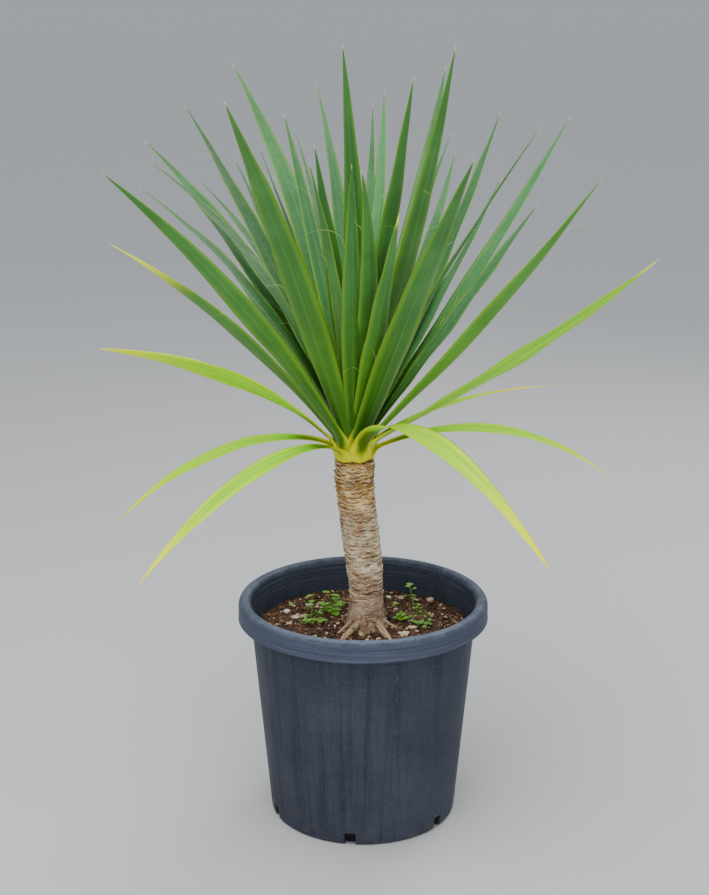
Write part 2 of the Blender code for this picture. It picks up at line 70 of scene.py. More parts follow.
# Trunk
TRUNK_TOP = 0.732
TRUNK_BURIED = 0.360        # where the modelled bark ends, under the soil
TRUNK_FOOT_X = 0.006        # the stem leans: foot right of centre, top left of it
TRUNK_TOP_X = -0.0175
TRUNK_LEAN_START = 0.45
TRUNK_LEAN_END = 0.72
TRUNK_WAIST = 0.0335        # radius
FLARE_BOTTOM = 0.385
FLARE_REACH = 0.012
FLAKE_COUNT = 190
FLAKE_REACH = 0.150         # how far down the stem the torn scraps go
BARK_COLUMNS = 200
BARK_ROWS = 480
RING_PITCH = 0.0084         # height of one leaf-scar ring
BARK_DEPTH = 0.0026         # relief of the old bark
YOUNG_BARK_DEPTH = 0.0044
ROOT_START = 0.018          # from the trunk's axis
ROOT_LIFT = 0.024           # how high a root leaves the trunk
ROOT_DIP = 0.014            # how deep it ends in the soil

# Crown
CROWN_X = TRUNK_TOP_X
CORE_HEIGHT = 0.130         # growing stem that the leaves clasp
CORE_RADIUS = 0.037
CORE_TIP_RADIUS = 0.010
LEAF_COLUMNS = 24           # half on the upper face, half on the underside
SHEATH_ROWS = 9
BLADE_ROWS = 50
SHEATH_LENGTH = 0.020       # how far a leaf base clasps the stem below its foot
SHEATH_JOIN = 3             # blade rows that the sheath's bend takes up
SHEATH_REACH = 0.034        # half the width of a leaf base, measured round the stem
LEAF_THICKNESS = 0.0026     # along the midrib, near the foot
LEAF_EDGE = 0.0005
LEAF_CURL = 1.3             # arching grows towards the tip
YOUNG_LEAF_COUNT = 9
GOLDEN_ANGLE = 137.5
THREAD_RADIUS = 0.00035
THREAD_STEPS = 22
LEAF_SINK = 0.008           # how far a blade's line starts inside the growing stem
BROADEST = 0.42             # share of a blade's length where it is widest

# Camera: taken to be at standing height. Its distance, tilt and lens were then fitted to the
# pot's outline in the picture.
CAMERA_PLACE = (-0.0171, -3.135, 1.646)
CAMERA_TILT = 15.85         # degrees below level
CAMERA_LENS = 67.64
SENSOR_WIDTH = 36.0

# One leaf: turn and rise of its foot in degrees, length, droop (degrees of arching),
# sweep (degrees of sideways bend), width, roll about its own length, height of its foot
# above the trunk top. Most rows were fitted to points read along the leaves in the picture.
Leaf = namedtuple("Leaf", "turn rise length droop sweep width roll foot")

FRONT_LEAVES = (
    Leaf(-50, 55, 0.744, 15, -12, 0.043, -53, 0.033),
    Leaf(-72, 53, 0.600, 22, -9, 0.051, -32, 0.029),
    Leaf(-28, 61, 0.800, 9, 2, 0.064, -5, 0.043),
    Leaf(2, 70, 0.790, 12, -10, 0.046, 25, 0.088),
    Leaf(-1, 57, 0.720, 10, 1, 0.042, -25, 0.048),
    Leaf(11, 56, 0.695, 11, -19, 0.040, -25, 0.068),
    Leaf(-8, 59, 0.680, 12, -4, 0.036, 35, 0.070),
    Leaf(28, 60, 0.835, -3, -11, 0.046, -10, 0.068),
    Leaf(18, 65, 0.765, 6, -6, 0.046, -20, 0.072),
    Leaf(22, 52, 0.785, 6, -3, 0.062, -5, 0.038),
    Leaf(12, 53, 0.640, 8, -5, 0.042, -20, 0.053),
    Leaf(58, 46, 0.701, -9, 18, 0.037, 41, 0.033),
    Leaf(75, 31, 0.676, -11, -10, 0.052, 33, 0.030),
)

BACK_LEAVES = (
    Leaf(-97, 63, 0.614, 27, 12, 0.052, 12, 0.051),
    Leaf(-108, 68, 0.663, 39, -7, 0.054, -4, 0.051),
    Leaf(-122, 60, 0.699, 19, 15, 0.056, 18, 0.049),
    Leaf(-131, 59, 0.704, 2, 20, 0.053, 9, 0.065),
    Leaf(-152, 46, 0.725, 20, 13, 0.040, -15, 0.048),
    Leaf(-164, 55, 0.840, 7, 26, 0.060, 0, 0.068),
    Leaf(-152, 46, 0.720, 9, -1, 0.038, -20, 0.046),
    Leaf(-169, 54, 0.720, 14, 8, 0.036, -40, 0.063),
    Leaf(-177, 59, 0.770, 14, 13, 0.044, -25, 0.073),
    Leaf(151, 55, 0.815, 2, 13, 0.050, 15, 0.063),
    Leaf(167, 56, 0.765, 8, 11, 0.042, 30, 0.065),
    Leaf(172, 54, 0.760, 9, 7, 0.036, 35, 0.061),
    Leaf(133, 52, 0.697, -12, -1, 0.050, 10, 0.060),
    Leaf(152, 43, 0.745, 4, 12, 0.040, 20, 0.046),
    Leaf(123, 53, 0.571, -7, -2, 0.047, 13, 0.050),
    Leaf(110, 52, 0.739, -5, 6, 0.047, -8, 0.044),
    Leaf(97, 54, 0.562, 5, 20, 0.052, -5, 0.040),
    Leaf(160, 26, 0.700, 10, -1, 0.040, 20, 0.026),
    Leaf(-170, 34, 0.730, 12, 4, 0.044, 0, 0.036),
    Leaf(-154, 27, 0.690, 16, -3, 0.044, 0, 0.028),
    Leaf(179, 40, 0.745, 8, -4, 0.044, 0, 0.043),
)

# The old leaves arch over quickly, so each also has its own curl, then its age from
# 0 (green) to 1 (yellow) and the share of its length that has dried from the tip.
OLD_LEAVES = (
    (Leaf(-90, 56, 0.519, 49, 6, 0.044, -59, 0.017), 0.55, 0.50, 0.03),
    (Leaf(-110, 60, 0.560, 106, 4, 0.030, 42, 0.013), 0.30, 0.55, 0.04),
    (Leaf(-39, 62, 0.563, 106, -15, 0.040, 16, 0.012), 0.38, 0.60, 0.03),
    (Leaf(20, 75, 0.700, 115, 20, 0.060, 1, 0.012), 0.47, 1.00, 0.02),
    (Leaf(111, 20, 0.568, 62, -6, 0.026, -35, 0.012), 0.97, 0.60, 0.05),
    (Leaf(125, 32, 0.500, 39, 0, 0.022, 0, 0.020), 0.52, 1.00, 0.35),
)

# Share of a front leaf's length that has yellowed from the tip, and how far the whole leaf
# has faded, by its place in the list.
YELLOW_TIPS = {1: 0.15, 10: 0.03, 12: 0.04}
FADED = {1: 0.08, 11: 0.10, 12: 0.88}

# How light each of the front leaves is, from 0 (dark olive) to 1, in the list's order.
FRONT_TONES = (0.55, 0.15, 0.55, 0.25, 0.25, 0.60, 0.55, 0.50, 0.35, 0.15, 0.60, 0.85, 0.80)

# The same for the back leaves, from dark blue-green to light.
BACK_TONES = (
    0.25, 0.20, 0.42, 0.10, 0.30, 0.62, 0.15, 0.35, 0.55, 0.45, 0.90,
    0.60, 0.40, 1.00, 0.75, 0.70, 0.35, 0.10, 0.30, 0.20, 0.45,
)

# One surface root: bearing, reach from the trunk axis, radius at the trunk.
Root = namedtuple("Root", "turn reach radius")
ROOTS = (
    Root(-31, 0.114, 0.0078),
    Root(-52, 0.098, 0.0038),
    Root(32, 0.120, 0.0075),
    Root(80, 0.082, 0.0036),
    Root(2, 0.056, 0.0026),
    Root(150, 0.085, 0.0065),
    Root(-140, 0.080, 0.0060),
)

# One weed: name, place of its stalk (x, y), then its stems as (turn, reach out, rise
# above the soil, radius of the round leaf).
Weed = namedtuple("Weed", "name place stems")
WEEDS = (
    Weed("weed_clump", (-0.062, 0.066), (
        (-20, 0.012, 0.012, 0.0085), (-75, 0.020, 0.022, 0.0080), (160, 0.016, 0.034, 0.0075),
        (60, 0.018, 0.024, 0.0080), (-130, 0.026, 0.014, 0.0070), (15, 0.026, 0.006, 0.0085),
    )),
    Weed("weed_sprig", (-0.096, 0.008), (
        (-95, 0.020, 0.005, 0.0065), (80, 0.018, 0.007, 0.0065), (-60, 0.010, 0.010, 0.0055),
    )),
    Weed("weed_stalk", (0.107, 0.085), (
        (-150, 0.022, 0.050, 0.0075), (100, 0.008, 0.014, 0.0045),
    )),
    Weed("weed_tuft", (0.078, 0.018), (
        (-60, 0.008, 0.006, 0.0070), (70, 0.010, 0.008, 0.0070), (170, 0.009, 0.011, 0.0060),
    )),
    Weed("weed_seedling", (0.112, 0.000), (
        (-90, 0.009, 0.007, 0.0060), (75, 0.018, 0.006, 0.0060), (10, 0.010, 0.010, 0.0050),
    )),
)

WEED_SIDE_LEAVES = (0.4, 0.6, 0.8, 0.9)    # where along each stem the smaller leaves sit

# One tiny seedling: x, y, height above the soil, length of its leaves.
Sprout = namedtuple("Sprout", "x y height leaf")
SPROUTS = (
    Sprout(-0.016, -0.052, 0.012, 0.0070),
    Sprout(0.000, -0.064, 0.006, 0.0055),
    Sprout(0.076, 0.026, 0.009, 0.0090),
    Sprout(0.104, 0.046, 0.016, 0.0060),
    Sprout(0.134, 0.006, 0.010, 0.0075),
    Sprout(0.120, -0.022, 0.005, 0.0065),
    Sprout(-0.117, 0.022, 0.008, 0.0070),
    Sprout(-0.091, 0.036, 0.014, 0.0080),
    Sprout(-0.083, 0.058, 0.010, 0.0075),
    Sprout(-0.104, 0.072, 0.022, 0.0080),
    Sprout(-0.108, 0.128, 0.018, 0.0090),
    Sprout(-0.068, 0.100, 0.036, 0.0085),
    Sprout(-0.050, 0.086, 0.024, 0.0080),
    Sprout(0.066, 0.060, 0.022, 0.0075),
    Sprout(0.060, 0.090, 0.030, 0.0070),
    Sprout(0.084, 0.128, 0.012, 0.0070),
    Sprout(-0.020, 0.120, 0.020, 0.0075),
    Sprout(0.030, 0.140, 0.016, 0.0070),
    Sprout(-0.100, -0.070, 0.006, 0.0055),
    Sprout(-0.150, 0.100, 0.010, 0.0060),
)
BLADE_TUFTS = ((-0.112, 0.088), (-0.100, 0.050), (-0.058, 0.110), (0.092, 0.030), (0.122, 0.060))
TUFT_BLADES = 9             # fine grass blades in each tuft
TUFT_SPREAD = 0.010

# Loose chips in the potting mix: count, size range in metres and flatness of each kind.
Chips = namedtuple("Chips", "name count smallest largest flatness")
CHIP_KINDS = (
    Chips("chips_dark_bark", 700, 0.0035, 0.0110, 0.55),
    Chips("chips_red_bark", 620, 0.0035, 0.0120, 0.45),
    Chips("chips_pale_wood", 360, 0.0028, 0.0105, 0.50),
    Chips("chips_perlite", 130, 0.0020, 0.0044, 0.85),
)

# The larger chips that stand out, as (kind, x, y, size).
LARGE_CHIPS = (
    ("chips_perlite", -0.155, 0.075, 0.0130),
    ("chips_pale_wood", -0.135, 0.042, 0.0190),
    ("chips_pale_wood", -0.148, 0.018, 0.0120),
    ("chips_pale_wood", 0.081, -0.043, 0.0260),
    ("chips_pale_wood", 0.098, -0.016, 0.0150),
    ("chips_perlite", -0.075, -0.064, 0.0070),
    ("chips_perlite", -0.094, -0.052, 0.0050),
    ("chips_pale_wood", 0.140, 0.144, 0.0180),
    ("chips_pale_wood", 0.110, 0.150, 0.0130),
    ("chips_perlite", 0.054, 0.163, 0.0120),
    ("chips_pale_wood", 0.080, 0.158, 0.0130),
    ("chips_pale_wood", -0.110, 0.125, 0.0150),
    ("chips_pale_wood", 0.168, 0.050, 0.0110),
    ("chips_pale_wood", -0.003, -0.055, 0.0100),
)


def shade(red, green, blue):
    """A colour as the eye reads it, 0 to 255, turned into the light values that nodes use."""
    light = []
    for value in (red, green, blue):
        value /= 255.0
        light.append(value / 12.92 if value <= 0.04045 else ((value + 0.055) / 1.055) ** 2.4)
    return (*light, 1.0)


def ease(low, high, value):
    """0 below low, 1 above high, with a smooth rise between; low may be the larger one."""
    share = min(max((value - low) / (high - low), 0.0), 1.0)
    return share * share * (3.0 - 2.0 * share)


def blend(first, second, share):
    return first + (second - first) * share


def direction(turn, rise):
    """Unit vector for a bearing and a rise, both in degrees."""
    turn, rise = math.radians(turn), math.radians(rise)
    return Vector((
        math.cos(rise) * math.sin(turn),
        -math.cos(rise) * math.cos(turn),
        math.sin(rise),
    ))


def across_of(turn):
    """Unit vector to the right of a bearing."""
    return Vector((math.cos(math.radians(turn)), math.sin(math.radians(turn)), 0.0))


# Shapes that the pieces share with the solids

def wall_radius(height):
    """Outside radius of the pot wall at a height."""
    return POT_FOOT_RADIUS + POT_WALL_SLOPE * height


def soil_height(x, y):
    """Height of the potting mix at a place, mounded at the trunk and gently uneven."""
    away = math.hypot(x - TRUNK_FOOT_X, y)
    mound = SOIL_MOUND * math.exp(-((away / 0.11) ** 2))
    return SOIL_LEVEL + mound + SOIL_UNEVENNESS * noise.noise(Vector((x * 24.0, y * 24.0, 0.4)))


def trunk_centre(height):
    """X of the stem axis: straight at the foot, leaning left towards the top."""
    return blend(TRUNK_FOOT_X, TRUNK_TOP_X, ease(TRUNK_LEAN_START, TRUNK_LEAN_END, height))


def trunk_radius(height):
    """Smooth radius of the stem: flared foot, waist, and a slightly thicker top."""
    flare = FLARE_REACH * math.exp(-max(height - FLARE_BOTTOM, 0.0) / 0.018)
    swell = 0.0015 * math.sin((height - 0.50) / 0.13 * math.pi)
    growth = 0.0045 * max(height - 0.45, 0.0) / (TRUNK_TOP - 0.45)
    return TRUNK_WAIST + flare + growth + swell * (1.0 if 0.50 < height < 0.63 else 0.0)


def core_radius(height):
    """Radius of the growing stem at a height above the trunk top."""
    share = min(max(height / CORE_HEIGHT, 0.0), 1.0)
    return blend(CORE_RADIUS, CORE_TIP_RADIUS, share ** 1.4)


def half_width(share, width):
    """Half the blade's width: clasping foot, slight neck, broad middle, long fine tip."""
    if share < BROADEST:
        swell = math.sin(share / BROADEST * math.pi / 2.0)
        clasp = 0.12 * math.exp(-share / 0.03)
        fraction = 0.58 + clasp + (0.42 - clasp) * swell
    else:
        fraction = 1.0 - ((share - BROADEST) / (1.0 - BROADEST)) ** 1.55
    return max(0.5 * width * fraction, 0.0004)


def young_leaves():
    """The upright inner leaves, set round the tip by the golden angle."""
    leaves = []
    for index in range(YOUNG_LEAF_COUNT):
        share = index / (YOUNG_LEAF_COUNT - 1)
        leaves.append(Leaf(
            turn=70.0 + GOLDEN_ANGLE * index,
            rise=62.0 + 22.0 * share,
            length=0.66 - 0.26 * share,
            droop=6.0 - 4.0 * share,
            sweep=0.0,
            width=0.040 - 0.012 * share,
            roll=0.0,
            foot=0.080 + 0.036 * share,
        ))
    return leaves


# Making meshes and pieces

def add_sheet(mesh, columns, rows, place):
    """Add a sheet of faces whose corners go where place(u, v) says; its seams are welded later, by
    close_mesh.

    u runs over the columns and v over the rows, both from 0 to 1, and both are kept as the
    piece's UV map.
    """
    uv_map = mesh.loops.layers.uv.verify()
    corners = bmesh.ops.create_grid(mesh, x_segments=columns, y_segments=rows, size=0.5)["verts"]
    faces = {face for corner in corners for face in corner.link_faces}
    for face in faces:
        face.smooth = True
        for loop in face.loops:
            loop[uv_map].uv = (loop.vert.co.x + 0.5, loop.vert.co.y + 0.5)
    for corner in corners:
        u = min(max(corner.co.x + 0.5, 0.0), 1.0)
        v = min(max(corner.co.y + 0.5, 0.0), 1.0)
        corner.co = place(u, v)
    return corners


def across_blade(u):
    """Place across a closed blade, -1 to 1, and its face: 1 for the upper, -1 for the underside."""
    if u <= 0.5:
        return 4.0 * u - 1.0, 1.0
    return 3.0 - 4.0 * u, -1.0


def close_mesh(mesh):
    """Weld seams and poles, drop the faces that they flatten, and turn all faces outwards."""
    bmesh.ops.remove_doubles(mesh, verts=mesh.verts, dist=0.000004)
    bmesh.ops.dissolve_degenerate(mesh, edges=mesh.edges, dist=0.000004)
    bmesh.ops.recalc_face_normals(mesh, faces=mesh.faces)


def finish_piece(name, mesh, material, nodes=()):
    """Make the mesh a piece on the root body, in place of the named solids."""
    close_mesh(mesh)
    data = bpy.data.meshes.new(name)
    mesh.to_mesh(data)
    mesh.free()
    data.materials.append(material)
    piece = bpy.data.objects.new(name, data)
    bpy.context.scene.collection.objects.link(piece)
    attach(piece, "root")
    if nodes:
        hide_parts(*nodes)
    return piece


def add_tube(mesh, points, radii, sides, roughness=0.0):
    """A closed tapered tube along the points, its skin pushed in and out by roughness."""
    rows = len(points) + 1

    def place(u, v):
        row = round(v * rows)
        index = min(max(row - 1, 0), len(points) - 1)
        centre = points[index]
        ahead = points[min(index + 1, len(points) - 1)] - points[max(index - 1, 0)]
        turn = ahead.to_track_quat("Z", "Y")
        angle = 2.0 * math.pi * u
        reach = 0.0 if row in (0, rows) else radii[index]
        rim = Vector((math.cos(angle), math.sin(angle), 0.0))
        bump = noise.noise(Vector((rim.x * 1.5, rim.y * 1.5, index * 0.9))) * roughness
        return centre + turn @ (rim * (reach * (1.0 + bump)))

    return add_sheet(mesh, sides, rows, place)


# Leaves

def sheath_bend(start, corner, end, share):
    """Point and heading on the curve from the stem's surface out into the blade."""
    point = start.lerp(corner, share).lerp(corner.lerp(end, share), share)
    heading = (corner - start).lerp(end - corner, share)
    return point, heading.normalized()


def blade_line(leaf, curl):
    """Share, point, heading and across vector at each row of a blade's arched midline."""
    foot = direction(leaf.turn, 0.0) * (core_radius(leaf.foot) - LEAF_SINK)
    point = Vector((CROWN_X + foot.x, foot.y, TRUNK_TOP + leaf.foot))
    line = []
    for row in range(BLADE_ROWS + 1):
        share = row / BLADE_ROWS
        if row:
            middle = (row - 0.5) / BLADE_ROWS
            step = direction(leaf.turn + leaf.sweep * middle, leaf.rise - leaf.droop * middle ** curl)
            point = point + step * (leaf.length / BLADE_ROWS)
        turn = leaf.turn + leaf.sweep * share
        heading = direction(turn, leaf.rise - leaf.droop * share ** curl)
        roll = Matrix.Rotation(math.radians(-leaf.roll * min(share * 2.0, 1.0)), 3, heading)
        line.append((share, point.copy(), heading, roll @ across_of(turn)))
    return line


def cup_at(share):
    """Half angle of the arc that a blade is cupped into: rounder at its foot."""
    return 0.40 * math.exp(-max(share - 0.05, 0.0) / 0.16) + 0.27


def leaf_rows(leaf, curl):
    """Every row of a leaf from the foot of its sheath to its tip.

    A row is its midline point, across vector, upper-face normal, half width, the half angle
    of the arc that it is cupped into, and its share of the blade's length.
    """
    line = blade_line(leaf, curl)
    share, end, heading, across = line[SHEATH_JOIN]
    outward = direction(leaf.turn, 0.0)
    axis = Vector((CROWN_X, 0.0, 0.0))
    stem = core_radius(leaf.foot) + 0.0015
    overhang = ((end - axis).dot(outward) - stem) / max(heading.dot(outward), 0.2)
    corner = end - heading * overhang
    start = corner.copy()
    start.z = max(TRUNK_TOP + leaf.foot - SHEATH_LENGTH, TRUNK_TOP + 0.0008)
    rows = []
    for row in range(SHEATH_ROWS):
        step = row / SHEATH_ROWS
        point, way = sheath_bend(start, corner, end, step)
        side = across_of(leaf.turn).lerp(across, step)
        side = (side - way * side.dot(way)).normalized()
        reach = blend(SHEATH_REACH, half_width(share, leaf.width), ease(0.0, 1.0, step))
        cup = blend(SHEATH_REACH / stem, cup_at(share), ease(0.0, 1.0, step))
        rows.append((point, side, way.cross(side), reach, cup, 0.0))
    for share, point, heading, across in line[SHEATH_JOIN:]:
        reach = half_width(share, leaf.width)
        rows.append((point, across, heading.cross(across), reach, cup_at(share), share))
    return rows


def leaf_half_thickness(across, share):
    """Thick along the midrib and at the foot, thin at the margins and the tip."""
    fleshy = (LEAF_THICKNESS - LEAF_EDGE) * (1.0 - 0.75 * share) * (1.0 - across * across)
    return 0.5 * (fleshy + LEAF_EDGE * (1.0 - across ** 8))


def add_leaf(mesh, leaf, curl, draw, dry_share, age, tone=None):
    """A cupped strap leaf as one closed skin: upper face, then underside, from foot to tip."""
    rows = leaf_rows(leaf, curl)
    last = len(rows) - 1
    waves = draw.uniform(2.0, 4.5)
    phases = (draw.uniform(0.0, 6.28), draw.uniform(0.0, 6.28))
    wave_size = draw.uniform(0.0006, 0.0020) * leaf.width / 0.05
    traits = mesh.verts.layers.float_vector.get("traits")
    drawn_tone = draw.random()
    if tone is None:
        tone = drawn_tone

    def place(u, v):
        row = round(v * last)
        centre, side, normal, reach, cup, share = rows[row]
        if row in (0, last):
            return centre
        across, face = across_blade(u)
        lateral = reach * math.sin(across * cup) / cup
        lift = reach * (1.0 - math.cos(across * cup)) / cup
        sway = math.sin(share * waves * 2.0 * math.pi + phases[across > 0.0])
        lift += wave_size * across * across * sway * ease(0.05, 0.30, share) * ease(1.0, 0.75, share)
        lift += face * leaf_half_thickness(across, share)
        return centre + side * lateral + normal * lift

    corners = add_sheet(mesh, LEAF_COLUMNS, last, place)
    for corner in corners:
        corner[traits] = (tone, dry_share, age)


def new_leaf_mesh():
    mesh = bmesh.new()
    mesh.verts.layers.float_vector.new("traits")
    return mesh


def build_leaf_group(name, leaves, material, seed, tips, faded, tones):
    draw = random.Random(seed)
    mesh = new_leaf_mesh()
    for index, leaf in enumerate(leaves):
        tone = tones[index] if tones else None
        add_leaf(mesh, leaf, LEAF_CURL, draw, tips.get(index, 0.0), faded.get(index, 0.0), tone)
    finish_piece(name, mesh, material, ["leaf_crown"])


def build_growing_stem(material):
    """The tapered stem that all the leaf bases clasp, rounded over at its tip."""
    mesh = new_leaf_mesh()
    traits = mesh.verts.layers.float_vector.get("traits")
    rows = 24

    def place(u, v):
        height = CORE_HEIGHT * v
        row = round(v * rows)
        reach = 0.0 if row in (0, rows) else core_radius(height) - 0.0004
        turn = 360.0 * u
        spot = direction(turn, 0.0) * reach
        return Vector((CROWN_X + spot.x, spot.y, TRUNK_TOP + 0.0004 + height))

    for corner in add_sheet(mesh, 64, rows, place):
        corner[traits] = (0.5, 0.0, 0.0)
    finish_piece("growing_stem", mesh, material, ["leaf_crown"])


def build_crown(material):
    build_leaf_group("front_leaves", FRONT_LEAVES, material, 3, YELLOW_TIPS, FADED, FRONT_TONES)
    build_leaf_group("back_leaves", BACK_LEAVES, material, 5, {}, {}, BACK_TONES)
    build_leaf_group("young_leaves", young_leaves(), material, 8, {}, {}, ())
    build_growing_stem(material)


def add_thread(mesh, rows, start_row, side, draw):
    """One fine fibre that has split from a leaf's margin and curls away from it."""
    centre, across, normal, reach, cup, _ = rows[start_row]
    heading = (rows[start_row + 1][0] - centre).normalized()
    edge = centre + across * (side * reach * math.sin(cup) / cup)
    edge += normal * (reach * (1.0 - math.cos(cup)) / cup)
    length = draw.uniform(0.040, 0.120)
    coil = draw.uniform(0.005, 0.018)
    turns = draw.uniform(0.4, 1.5) * 2.0 * math.pi
    away = (across * side + normal * draw.uniform(-0.6, 0.6)).normalized()
    points = []
    radii = []
    for step in range(THREAD_STEPS + 1):
        share = step / THREAD_STEPS
        angle = turns * share
        curl = away * (1.0 - math.cos(angle)) + normal * math.sin(angle)
        drawn = heading * (share * (1.0 - 0.3 * share)) + away * (0.40 * share ** 2)
        points.append(edge + drawn * length + curl * (coil * share))
        radii.append(THREAD_RADIUS * (1.0 - 0.6 * share))
    add_tube(mesh, points, radii, 5)


def build_threads(material):
    """The fine curly fibres along the margins of some leaves."""
    draw = random.Random(77)
    mesh = bmesh.new()
    for leaf in FRONT_LEAVES + BACK_LEAVES:
        rows = leaf_rows(leaf, LEAF_CURL)
        for _ in range(draw.choice((1, 1, 2, 3))):
            start_row = round(len(rows) * draw.uniform(0.35, 0.82))
            add_thread(mesh, rows, start_row, draw.choice((-1.0, 1.0)), draw)
    finish_piece("leaf_threads", mesh, material)


def build_old_leaves(material):
    for index, (leaf, curl, age, dry_share) in enumerate(OLD_LEAVES):
        node = f"yellowing_leaf_{index + 1}"
        mesh = new_leaf_mesh()
        add_leaf(mesh, leaf, curl, random.Random(40 + index), dry_share, age)
        finish_piece(node + "_blade", mesh, material, [node])


# Trunk and roots

def bark_relief(turn, height):
    """How far the bark stands out from the smooth stem, and 0 in a crack to 1 on a lip.

    Crescent leaf scars ring the stem, run into each other and end in a ragged lip over a
    thin crack. They stand out most in the young bark under the crown and fade out over the
    foot.
    """
    around = direction(turn, 0.0)
    young = ease(0.595, 0.690, height)
    ringed = ease(0.425, 0.460, height)
    wander = 0.0062 * noise.noise(Vector((around.x * 1.4 + 3.0, around.y * 1.4, height * 14.0)))
    wander += 0.0036 * noise.noise(Vector((around.x * 3.2, around.y * 3.2 + 8.0, height * 42.0)))
    wander += 0.0009 * noise.noise(Vector((around.x * 11.0, around.y * 11.0, height * 110.0)))
    wander += 0.0030 * noise.noise(Vector((7.0, 2.0, height * 46.0)))
    level = (height + wander) / RING_PITCH
    ring = math.floor(level)
    within = level - ring
    ragged = noise.noise(Vector((around.x * 2.6, around.y * 2.6, ring * 2.3)))
    torn = noise.noise(Vector((around.x * 9.0, around.y * 9.0, ring * 5.1)))
    strength = min(max(0.60 + 1.6 * ragged + (0.45 + 0.40 * young) * torn, 0.05), 1.35)
    lip = within ** 1.7 * ease(1.0, 0.88, within) * strength
    crack = ease(blend(0.30, 0.36, young), 0.04, within) * min(strength * 1.5, 1.0)
    depth = blend(BARK_DEPTH, YOUNG_BARK_DEPTH, young) * ringed
    lump = 0.0018 * noise.noise(Vector((around.x * 2.2, around.y * 2.2, height * 22.0)))
    grain = 0.0007 * noise.noise(Vector((around.x * 20.0, around.y * 20.0, height * 240.0)))
    folds = 0.0016 * math.cos(math.radians(turn) * 7.0 + 1.0) * ease(0.440, 0.395, height)
    stand = depth * (lip - 0.30 - 0.20 * crack) + lump + grain + folds
    return stand, min(max(0.5 + 0.5 * ringed * (lip - crack), 0.0), 1.0)


def build_trunk(material):
    """The ringed stem from under the soil to the crown, with its surface roots."""
    mesh = bmesh.new()
    relief = mesh.verts.layers.float.new("relief")
    rootiness = mesh.verts.layers.float.new("rootiness")

    def place(u, v):
        row = round(v * BARK_ROWS)
        height = blend(TRUNK_BURIED, TRUNK_TOP - 0.0002, min(max((row - 1) / (BARK_ROWS - 2), 0), 1))
        turn = 360.0 * u
        stand, _ = bark_relief(turn, height)
        reach = 0.0 if row in (0, BARK_ROWS) else trunk_radius(height) + stand
        spot = direction(turn, 0.0) * reach
        return Vector((trunk_centre(height) + spot.x, spot.y, height))

    for corner in add_sheet(mesh, BARK_COLUMNS, BARK_ROWS, place):
        x, y, height = corner.co
        turn = math.degrees(math.atan2(x - trunk_centre(height), -y))
        corner[relief] = bark_relief(turn, height)[1]
    for root in ROOTS:
        for corner in add_root(mesh, root):
            corner[relief] = 0.55 + 0.45 * noise.noise(corner.co * 160.0)
            corner[rootiness] = ease(0.038, 0.056, math.hypot(corner.co.x - TRUNK_FOOT_X, corner.co.y))
    finish_piece("trunk_bark", mesh, material, ["trunk"])


def add_flake(mesh, turn, height, width, rise, stand, lean):
    """One torn scrap of an old leaf base: it clings at its foot and stands off at its top."""
    rows = 4
    half = 0.00035
    start_reach = trunk_radius(height) - 0.0012

    def place(u, v):
        row = round(v * rows)
        across, face = across_blade(u)
        taper = 0.0 if row in (0, rows) else 0.65 + 0.35 * math.sin(v * 3.0 + lean)
        spread = math.degrees(0.5 * width * taper * across / start_reach)
        reach = start_reach + stand * v ** 1.5 * (1.0 - 0.35 * across * across) + face * half
        level = height + rise * (v + 0.18 * math.sin(across * 5.0 + lean))
        spot = direction(turn + spread + lean * 3.0 * v, 0.0) * reach
        return Vector((trunk_centre(level) + spot.x, spot.y, level))

    return add_sheet(mesh, 12, rows, place)


def build_flakes(material):
    """Torn scraps along the scars of the young bark, thinning out down the stem."""
    draw = random.Random(31)
    mesh = bmesh.new()
    relief = mesh.verts.layers.float.new("relief")
    mesh.verts.layers.float.new("rootiness")
    for _ in range(FLAKE_COUNT):
        height = TRUNK_TOP - 0.012 - (FLAKE_REACH - 0.012) * draw.random() ** 1.5
        width = draw.uniform(0.007, 0.022)
        rise = draw.uniform(0.0035, 0.0080)
        stand = draw.uniform(0.0022, 0.0046) * ease(TRUNK_TOP - FLAKE_REACH - 0.03, TRUNK_TOP, height)
        tone = draw.uniform(0.35, 0.95)
        turn = draw.uniform(-180.0, 180.0)
        for corner in add_flake(mesh, turn, height, width, rise, stand, draw.uniform(-1.0, 1.0)):
            corner[relief] = tone
    finish_piece("bark_flakes", mesh, material)


def add_root(mesh, root):
    """A surface root: out of the stem, down to the soil, and into it."""
    points = []
    radii = []
    steps = 26
    for step in range(steps + 1):
        share = step / steps
        reach = blend(ROOT_START, root.reach, share)
        spot = direction(root.turn, 0.0) * reach
        spot += across_of(root.turn) * (0.0022 * math.sin(share * 5.0 + root.turn))
        spot.x += TRUNK_FOOT_X
        above = ROOT_LIFT * (1.0 - share) ** 2 - ROOT_DIP * share ** 3
        points.append(Vector((spot.x, spot.y, soil_height(spot.x, spot.y) + above)))
        knuckle = 1.0 + 0.10 * noise.noise(Vector((share * 14.0, root.turn, 0.0)))
        radii.append(root.radius * (1.0 - 0.35 * share) * knuckle)
    return add_tube(mesh, points, radii, 20, roughness=0.18)


# Potting mix

def soil_surface(x, y):
    """The soil's crumbs over its general height."""
    crumbs = SOIL_CRUMBS * noise.noise(Vector((x * 95.0, y * 95.0, 1.7)))
    grit = SOIL_GRIT * noise.noise(Vector((x * 260.0, y * 260.0, 4.1)))
    return soil_height(x, y) + crumbs + grit


